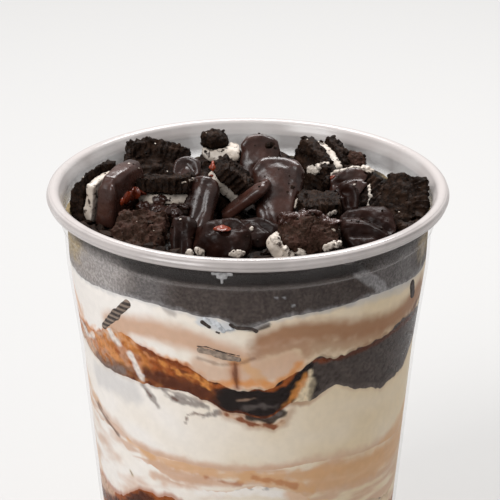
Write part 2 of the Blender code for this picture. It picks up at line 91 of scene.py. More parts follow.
# Half section of the cup, as radius and height: its parts other than the plain wall and the rim.
WALL = ((33.4, 0.6), (36.3, 29.0), (40.1, 67.0), (42.9, 87.0), (43.4, 96.2), (44.2, 101.3))
FOOT_OUTSIDE = (
    (0.0, 2.5), (28.0, 2.5), (30.4, 2.4), (31.0, 1.6), (31.3, 0.3), (31.7, 0.0), (32.5, 0.0),
    (33.1, 0.2), (33.42, 0.8),
)
NECK_OUTSIDE = (
    (43.42, 96.1), (43.75, 96.5), (44.05, 96.9), (44.1, 97.6), (44.12, 98.9), (44.2, 100.2),
    (44.2, 101.0), (44.35, 101.55),
)
NECK_INSIDE = (
    (44.0, 103.2), (43.55, 102.4), (43.35, 101.2), (43.25, 98.9), (43.2, 97.6), (43.1, 96.95),
    (42.7, 96.5), (42.5, 96.1),
)
FLOOR_INSIDE = ((33.0, 4.0), (32.4, 3.6), (31.4, 3.4), (0.0, 3.4))
RIM_CENTRE = (45.85, 103.4)
RIM_HALF_WIDTH = 1.62
RIM_HALF_HEIGHT = 1.6
RIM_STEPS = 44
LEDGE_HEIGHT = 96.6

# Relief that is moulded on a wafer.
RIDGES = 94
RIDGE_RADIUS = 18.2
RIDGE_HEIGHT = 0.26
FLUTE_DEPTH = 0.34

# Camera at the photograph's place: metres and degrees.
AIM = (0.0005, 0.0, 0.08855)
CAMERA_DISTANCE = 0.9
CAMERA_TILT = 22.1
SENSOR_WIDTH = 36.0
LENS = 273.24

# Place, facing and cookie centre of each fragment whose face shows the moulded ridges.
WAFER_PLACES = {
    "back_left_wafer": ((-22.0, 22.0, 100.6), (8, 44), (-3.5, -14.8), 0.0, 1),
    "front_left_wafer": ((-25.0, -15.0, 99.2), (-12, 60), (0.0, 14.0), 0.0, 1),
    "back_wafer": ((-6.0, 24.6, 98.2), (-6, 70), (3.0, -15.0), 0.0, 1),
    "right_wafer": ((35.6, -2.5, 98.6), (-28, 46), (-14.0, -2.0), 0.0, 1),
    "right_back_wafer": ((30.4, 8.0, 98.6), (-18, 52), (-13.0, -13.4), 0.0, 1),
    "right_fluted_wafer": ((17.0, -2.0, 101.0), (8, 92), (0.0, 16.0), 0.0, 1),
    "left_cookie_back": ((-33.6, 2.0, 98.6), (62, -3), (-3.0, -11.5), -3.3, -1),
    "flat_cookie_front": ((-20.0, 3.4, 100.6), (0, 106), (2.0, 16.0), 3.3, 1),
    "flat_cookie_back": ((-20.0, 3.4, 100.6), (0, 106), (2.0, 16.0), -3.3, -1),
    "middle_cookie_front": ((-5.2, 9.0, 101.6), (90, 47), (16.0, 0.0), 3.3, 1),
    "middle_cookie_back": ((-5.2, 9.0, 101.6), (90, 47), (16.0, 0.0), -3.3, -1),
    "back_right_cookie_front": ((18.4, 25.4, 100.4), (-55, 12), (-14.5, 0.0), 3.3, 1),
    "back_right_cookie_back": ((18.4, 25.4, 100.4), (-55, 12), (-14.5, 0.0), -3.3, -1),
}
CRUMBLY_LUMPS = ("back_crumb", "back_right_crumb", "front_right_chunk")
FILLINGS = (
    "back_cream", "back_right_cookie_filling", "flat_cookie_filling", "front_right_cream",
    "left_cookie_filling", "middle_cookie_filling",
)
# Place and facing of each glazed piece, and its folds: paths across it, their height and width.
GLAZED = {
    "front_chunk": ((-5.6, -23.5, 99.6), (0, 70), (
        (((-4, 1), (-1, 3.6), (3, 3.0), (5.5, 0.5)), 0.7, 0.9),
        (((-3, -1.5), (0, 1.4), (3.4, 0.6)), -0.7, 0.7),
    )),
    "glazed_back": ((3.0, 26.5, 101.0), (6, 30), (
        (((-4.6, 3.0), (-2.6, 5.4), (0.6, 5.8), (3.6, 4.2), (4.6, 1.0)), 0.8, 0.8),
        (((-1.8, -0.6), (0.8, 0.6), (2.0, -1.2)), 0.45, 1.2),
    )),
    "glazed_bar": ((-0.4, 2.2, 100.8), (-98, 50), (
        (((-3.2, -6.6), (-3.2, 6.6)), 0.5, 0.7),
        (((-1.0, -6.6), (-1.0, 6.6)), -0.45, 0.6),
        (((1.4, -6.6), (1.4, 6.6)), 0.35, 0.7),
    )),
    "glazed_button": ((-14.6, 17.0, 102.0), (-5, 42), (
        (((-3.0, -1.0), (-2.4, 1.8), (0.0, 3.0), (2.4, 1.8), (3.0, -1.0)), 0.6, 0.6),
        (((-1.6, -0.6), (0.0, 1.2), (1.6, -0.6)), -0.5, 0.6),
    )),
    "glazed_centre": ((7.0, 3.0, 101.4), (-4, 45), (
        (((-5.4, 5.4), (-3.4, 8.0), (0.0, 8.9), (3.4, 8.0), (5.4, 5.2)), 0.9, 1.0),
        (((4.2, 6.0), (4.0, 0.0), (3.4, -6.0)), 0.5, 0.7),
        (((-4.6, -2.0), (-2.6, -4.6), (-1.6, -8.0)), -0.5, 0.9),
    )),
    "glazed_curl": ((23.0, 1.0, 101.0), (0, 40), (
        (((-1.0, 3.4), (1.6, 2.8), (2.8, 0.6), (2.4, -2.4)), 0.8, 0.5),
        (((-1.4, 1.6), (0.4, 0.8), (0.6, -1.6)), -1.4, 1.2),
    )),
    "glazed_front_left": ((-15.0, -21.5, 99.2), (0, 38), (
        (((-1.8, -5.5), (-1.8, 5.0)), 0.5, 0.6),
        (((-0.4, -5.5), (-0.4, 5.0)), -0.5, 0.5),
        (((1.2, -5.5), (1.2, 5.0)), 0.4, 0.6),
    )),
    "glazed_front_right": ((28.4, -14.5, 99.0), (12, 55), (
        (((-5.5, 4.0), (-1.0, 2.6), (4.0, -1.0)), -0.8, 0.7),
        (((-5.5, 1.2), (-1.0, 0.2), (3.4, -3.4)), 0.6, 0.7),
        (((-4.8, -1.6), (0.0, -2.4), (3.0, -5.0)), -0.8, 0.7),
    )),
    "glazed_leaf": ((-12.2, -1.5, 99.2), (-25, 35), (
        (((-3.4, 6.0), (-1.2, 7.6), (1.4, 7.6)), 0.6, 0.6),
        (((1.6, 6.4), (1.8, 0.0), (0.8, -6.0)), -0.4, 0.8),
    )),
    "glazed_right": ((25.0, 10.5, 100.2), (-8, 48), (
        (((-4.8, 0.6), (-2.0, 3.2), (2.4, 3.8), (5.0, 3.0)), 0.8, 0.7),
        (((-3.4, 0.0), (0.4, 1.8), (4.4, 1.6)), -0.7, 0.6),
    )),
    "left_cookie_glazed": ((-33.6, 2.0, 98.6), (62, -3), (
        (((-7.6, 9.0), (-7.8, 0.0), (-7.8, -9.0)), 0.8, 0.8),
        (((-6.2, 8.8), (-6.4, 0.0), (-6.4, -9.0)), -0.4, 0.6),
    )),
    "middle_lump": ((2.4, -13.5, 97.2), (0, 80), (
        (((-5.0, 2.6), (-1.0, 3.2), (4.6, -1.4)), 0.7, 0.7),
        (((-4.6, 0.6), (-1.0, 1.0), (3.4, -2.8)), -0.6, 0.6),
    )),
}
# Glazed pieces low at the front, which take a darker copy of the glaze as painted shade, and
# rougher ripples.
GLAZED_IN_SHADE = ("front_chunk", "glazed_curl", "glazed_front_left", "glazed_front_right",
               "middle_lump")
BROWNER = ("back_right_crumb", "front_left_wafer", "front_right_chunk")
HEAP_PARTS = ("crumb_bed", "broken_", "glossy_", "cream_")
# Small bits that show in the cream at the wall: their colour, slot, and strips of angle and height
# with a half width in millimetres.
WALL_BITS = {
    "striped_bit": ("grey_cookie", "cookie_wafer", ((((-54.2, 79.4), (-41.0, 88.2)), 1.25),)),
    "sliver_of_cookie": ("ash_cream", "cookie_wafer", (
        (((-15.4, 80.1), (-12.0, 79.8), (-7.0, 78.8), (-3.0, 78.2)), 1.0),
    )),
    "dark_bits": ("grey_cookie", "cookie_wafer", (
        (((65.0, 87.2), (67.0, 84.0)), 1.5),
        (((-16.2, 81.0), (-13.2, 81.1), (-8.0, 80.0), (-2.4, 79.1)), 0.17),
        (((-14.2, 87.5), (-12.0, 86.4)), 0.55),
        (((-5.4, 87.3), (-4.4, 86.8)), 0.5),
        (((-9.8, 85.2), (-9.0, 85.0)), 0.3),
        (((-3.2, 86.5), (1.3, 86.4), (2.6, 85.7)), 0.5),
    )),
    "pale_bits": ("blue_cream", "cookie_filling", (
        (((-13.4, 88.4), (-10.6, 87.5)), 0.6),
        (((-9.4, 87.3), (-7.6, 85.6)), 0.75),
        (((-6.4, 85.9), (-4.6, 86.2)), 0.5),
    )),
    "cream_drip": ("shadow_cream", "cookie_filling", (
        (((-10.6, 100.1), (-5.0, 100.1)), 0.5),
        (((-8.9, 99.3), (-6.7, 99.3)), 0.55),
        (((-7.8, 98.8), (-7.8, 97.9)), 0.4),
    )),
}
# Dabs and smears on the heap, one of them a painted highlight: their slot, and strips of places
# with a half width and a thickness.
SAUCES = {
    "caramel_dabs": ("caramel", (
        (((-30.0, -5.0, 103.0), (-28.6, -3.7, 103.2), (-26.6, -1.2, 103.3), (-25.0, -0.9, 103.4)),
         1.2, 0.4),
        (((-7.4, -25.4, 104.4), (-6.2, -25.0, 104.6), (-4.8, -24.6, 104.5)), 1.1, 0.25),
        (((-9.8, 6.6, 105.8), (-8.9, 8.6, 106.6)), 0.8, 0.5),
        (((19.4, 13.6, 101.2), (20.5, 10.8, 102.4)), 0.7, 0.45),
    )),
    "cream_smears_and_highlight": ("cookie_filling", (
        # Painted highlight: a thin cream strip along the edge of the glazed leaf stands in for a
        # highlight.
        (((-15.5, -1.2, 106.0), (-13.6, 0.4, 106.2), (-12.6, 1.6, 106.0)), 0.3, 0.25),
        (((-3.9, -29.0, 99.1), (-2.5, -28.7, 99.4), (-1.6, -28.1, 98.9)), 0.7, 0.6),
        (((-12.8, -27.0, 98.9), (-11.4, -27.4, 98.6)), 0.8, 0.6),
        (((6.2, -25.4, 102.4), (7.6, -26.6, 100.5), (9.6, -27.0, 98.9), (12.4, -27.4, 98.0)),
         0.9, 0.7),
        (((18.2, -25.5, 99.6), (19.8, -25.5, 100.2), (21.2, -24.9, 100.4)), 0.7, 0.6),
        (((-18.8, -2.8, 100.6), (-18.3, -3.4, 99.8)), 0.4, 0.4),
        (((18.8, -7.9, 101.1), (20.6, -7.7, 101.3)), 0.4, 0.35),
        (((0.6, -15.2, 100.0), (0.9, -15.2, 100.0)), 0.4, 0.3),
        (((10.9, -0.9, 99.9), (11.4, 0.5, 101.3)), 0.5, 0.35),
        (((19.7, -22.4, 102.6), (20.0, -22.4, 102.6)), 0.4, 0.3),
        (((-28.5, 2.1, 110.1), (-28.2, 2.1, 110.1)), 0.35, 0.25),
        (((-25.9, 2.7, 108.3), (-25.7, 2.7, 108.3)), 0.3, 0.25),
        (((19.6, 14.5, 101.8), (22.0, 12.0, 104.0), (25.6, 12.4, 104.6), (30.0, 13.0, 104.6)),
         0.55, 0.4),
        (((28.8, 9.3, 101.5), (29.0, 7.0, 99.8), (28.5, 4.8, 98.2)), 0.35, 0.3),
        (((15.4, 20.8, 100.6), (17.3, 18.4, 102.6), (19.7, 19.4, 103.2)), 0.9, 0.6),
    )),
    "glaze_arcs": ("fudge_glaze", (
        (((-27.0, -3.5, 101.5), (-23.5, -2.0, 102.2), (-19.9, -2.0, 102.0), (-16.1, -2.5, 101.4),
          (-13.7, -3.0, 100.8)), 0.7, 0.55),
        (((-25.6, -5.0, 100.1), (-22.0, -4.5, 101.1), (-18.5, -4.5, 100.9), (-15.2, -5.0, 99.8)),
         0.8, 0.6),
        (((8.8, -20.0, 103.6), (11.0, -19.2, 104.8), (13.7, -19.0, 105.2), (17.0, -19.4, 104.6),
          (19.7, -20.0, 103.6)), 1.5, 0.6),
    )),
    "stuck_crumbs": ("cookie_wafer", (
        (((4.9, 26.7, 104.9), (6.1, 27.3, 105.0)), 0.9, 0.8),
        (((-14.6, 3.4, 105.4), (-12.8, 5.4, 105.2)), 0.9, 0.8),
        (((14.6, 12.0, 101.0), (17.4, 11.2, 101.4)), 1.2, 1.0),
    )),
}


def tint(name, description, colour):
    """A colour that the panel shows."""
    return bpy.props.FloatVectorProperty(
        name=name, description=description, subtype="COLOR", size=3, min=0.0, max=1.0,
        default=colour,
    )


def length(name, description, value):
    """A size that the panel shows, in metres."""
    return bpy.props.FloatProperty(
        name=name, description=description, default=value, min=0.0, subtype="DISTANCE",
        unit="LENGTH", precision=5,
    )


class CupLook(bpy.types.PropertyGroup):
    """Sizes and colours of the clear cup."""

    wall: length("Wall", "Thickness of the cup's wall", 0.0009)
    bead_groove: length("Rim grooves", "Depth of the fine grooves round the rolled rim", 0.00022)
    plastic: tint("Plastic", "Colour of the milky plastic", (0.53, 0.485, 0.47))
    wall_haze: bpy.props.FloatProperty(
        name="Wall haze", description="How milky the wall looks, face on", default=0.03,
        min=0.0, max=1.0, subtype="FACTOR",
    )
    neck_haze: bpy.props.FloatProperty(
        name="Neck haze", description="How milky the free inside of the neck looks", default=0.78,
        min=0.0, max=1.0, subtype="FACTOR",
    )
    rim_haze: bpy.props.FloatProperty(
        name="Rim haze", description="How milky the thick rim looks", default=0.95, min=0.0,
        max=1.0, subtype="FACTOR",
    )


class LayerLook(bpy.types.PropertyGroup):
    """Colours of the ice cream, fudge and caramel that show through the wall."""

    reach: length("Reach", "How far the filling reaches into the wall, so that no air shows",
                  0.0002)
    white_cream: tint("White cream", "Palest ice cream", (0.95, 0.90, 0.85))
    warm_cream: tint("Warm cream", "Ice cream with a little coffee in it", (0.83, 0.68, 0.47))
    pink_cream: tint("Pinkish cream", "Ice cream with a trace of caramel", (0.66, 0.42, 0.29))
    blue_cream: tint("Cold cream", "Lumps of cookie filling, bluish behind the wall",
                     (0.62, 0.64, 0.67))
    tan_cream: tint("Tan cream", "Ice cream stirred with caramel", (0.37, 0.185, 0.095))
    toffee: tint("Toffee", "Ice cream with much caramel", (0.72, 0.42, 0.22))
    olive_cream: tint("Olive cream", "Cream dimmed by cookie at the cup's side", (0.52, 0.39, 0.20))
    amber: tint("Amber caramel", "Thinnest caramel, lit through", (0.74, 0.29, 0.07))
    orange: tint("Orange caramel", "Thin caramel against the wall", (0.40, 0.102, 0.021))
    brown: tint("Brown caramel", "Caramel mixed with fudge", (0.105, 0.028, 0.012))
    rust: tint("Rusty caramel", "Caramel over fudge", (0.21, 0.048, 0.014))
    fudge: tint("Fudge", "Thick fudge", (0.015, 0.010, 0.009))
    veiled_cookie: tint("Veiled cookie", "Cookie under a thin veil of cream", (0.22, 0.18, 0.165))
    ash_cream: tint("Ash cream", "Cream over a sunken piece of cookie", (0.37, 0.285, 0.225))
    grey_cookie: tint("Grey cookie", "Cookie behind the wall", (0.070, 0.054, 0.048))
    # Greyish cream: painted shade where strokes grey the ice cream under the fudge and crumbs,
    # painted light where it pales the crumbs under the rim, and the grey of real cream in smears,
    # drips and veils.
    shadow_cream: tint("Shaded cream", "Ice cream with dark pieces just behind it",
                       (0.55, 0.54, 0.55))


class ToppingLook(bpy.types.PropertyGroup):
    """Sizes and colours of the heap on top."""

    wafer: tint("Cookie", "Dry cookie", (0.0066, 0.0034, 0.0022))
    wafer_dust: tint("Cookie crumb", "Broken, lighter cookie crumb", (0.030, 0.0155, 0.0095))
    brown_dust: tint("Brown crumb", "Lighter grains of the brown lumps", (0.056, 0.027, 0.020))
    filling: tint("Filling", "Cookie cream", (0.66, 0.59, 0.52))
    filling_dust: tint("Dust on the filling", "Cookie dust on the cream", (0.05, 0.03, 0.022))
    glaze: tint("Glaze", "Smooth dark glaze", (0.056, 0.021, 0.0145))
    caramel: tint("Caramel", "Dabs of caramel sauce", (0.30, 0.042, 0.012))
    voxel: length("Grain", "Size of the facets of the broken pieces", 0.00034)
    roughness: length("Crumble", "Height of the crumbly relief", 0.00075)
    crumb_count: bpy.props.IntProperty(
        name="Crumbs", description="How many loose crumbs lie on the heap", default=900, min=0,
    )
    seed: bpy.props.IntProperty(name="Seed", description="Start of the scatter", default=7)


class StageLook(bpy.types.PropertyGroup):
    """The floor, the lights and the camera."""

    floor: tint("Floor", "Colour of the floor", (0.52, 0.515, 0.51))
    key_power: bpy.props.FloatProperty(
        name="Key light", description="Power of the large light on the left", default=6.0,
        min=0.0, unit="POWER",
    )
    top_power: bpy.props.FloatProperty(
        name="Top light", description="Power of the light above and behind", default=8.0,
        min=0.0, unit="POWER",
    )


def deselect():
    """Leave no object selected."""
    bpy.ops.object.select_all(action="DESELECT")


def pick(piece):
    """Select one object alone."""
    deselect()
    piece.select_set(True)
    bpy.context.view_layer.objects.active = piece


def new_name(piece, name):
    """Name an object and its mesh alike."""
    piece.name = name
    piece.data.name = name
    return piece


def points_of(piece):
    """The corners of a mesh in millimetres."""
    flat = np.empty(len(piece.data.vertices) * 3)
    piece.data.vertices.foreach_get("co", flat)
    return flat.reshape(-1, 3) / MM


def move_points(piece, points):
    """Put the corners of a mesh at places in millimetres."""
    piece.data.vertices.foreach_set("co", (points * MM).ravel())
    piece.data.update()


def normals_of(piece):
    """The direction that each corner of a mesh faces."""
    flat = np.empty(len(piece.data.vertices) * 3)
    piece.data.vertex_normals.foreach_get("vector", flat)
    return flat.reshape(-1, 3)


def weld(piece, distance):
    """Merge corners that lie together and face everything outwards."""
    pick(piece)
    bpy.ops.object.mode_set(mode="EDIT")
    bpy.ops.mesh.select_all(action="SELECT")
    bpy.ops.mesh.remove_doubles(threshold=distance * MM)
    bpy.ops.mesh.normals_make_consistent(inside=False)
    bpy.ops.object.mode_set(mode="OBJECT")


def apply_modifier(piece, kind, **values):
    """Add one modifier, set it up and apply it."""
    pick(piece)
    modifier = piece.modifiers.new(kind.lower(), kind)
    for key, value in values.items():
        setattr(modifier, key, value)
    bpy.ops.object.modifier_apply(modifier=modifier.name)


def shade(piece, angle=40.0):
    """Shade smooth, with sharp edges where faces meet at more than an angle."""
    pick(piece)
    bpy.ops.object.shade_smooth_by_angle(angle=math.radians(angle))


def keep_below_top(piece):
    """Ease the highest points down, so that relief doesn't raise the heap."""
    points = points_of(piece)
    limit = CAD_BOX[1][2] / MM - 1.2
    over = np.maximum(0.0, points[:, 2] - limit)
    points[:, 2] = np.minimum(points[:, 2], limit) + 1.15 * (1.0 - np.exp(-over))
    move_points(piece, points)


def finish_piece(piece, material, nodes):
    """Give a piece its material and body, and hide the nodes that it replaces."""
    if points_of(piece)[:, 2].max() > CAD_BOX[1][2] / MM - 1.2:
        keep_below_top(piece)
    piece.data.materials.clear()
    piece.data.materials.append(material)
    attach(piece, "root")
    if nodes:
        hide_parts(*nodes)


def soft(values, low, high):
    """0 below low, 1 above high, eased between them."""
    share = np.clip((values - low) / (high - low), 0.0, 1.0)
    return share * share * (3.0 - 2.0 * share)


def cloud(points, size, seed=0.0, stretch=(1.0, 1.0, 1.0)):
    """Soft noise from about -1 to 1, with lumps of a size in millimetres."""
    places = points / (np.array(stretch) * size) + seed
    return np.array([noise.noise(place) for place in places.tolist()])


def rough_cloud(points, size, seed=0.0, stretch=(1.0, 1.0, 1.0)):
    """Noise with finer noise on top."""
    total = cloud(points, size, seed, stretch)
    total += 0.5 * cloud(points, size * 0.5, seed + 11.3, stretch)
    total += 0.25 * cloud(points, size * 0.25, seed + 23.9, stretch)
    return total


def warped(points, size, amount, seed=0.0):
    """Points pushed about by noise, so that patterns drawn from them curl."""
    push = np.stack([cloud(points, size, seed + 17.0 * axis) for axis in range(3)], axis=1)
    return points + amount * push


def blend_colour(colours, other, mask):
    """Mix another colour into an array of colours by a mask."""
    mask = np.clip(mask, 0.0, 1.0)[:, None]
    return colours * (1.0 - mask) + np.array(other) * mask


def scaled(colour, factor):
    """A darker or lighter colour."""
    return [value * factor for value in colour]


def path_distance(across, along, knots):
    """Distance in millimetres from a path of points on a flat sheet."""
    nearest = np.full(len(across), 1e6)
    for (a0, b0), (a1, b1) in zip(knots, knots[1:]):
        ax, bx = across - a0, a1 - a0
        ay, by = along - b0, b1 - b0
        share = np.clip((ax * bx + ay * by) / (bx * bx + by * by), 0.0, 1.0)
        nearest = np.minimum(nearest, np.hypot(ax - bx * share, ay - by * share))
    return nearest


Stroke = namedtuple("Stroke", "path half_width fade colour strength fray")

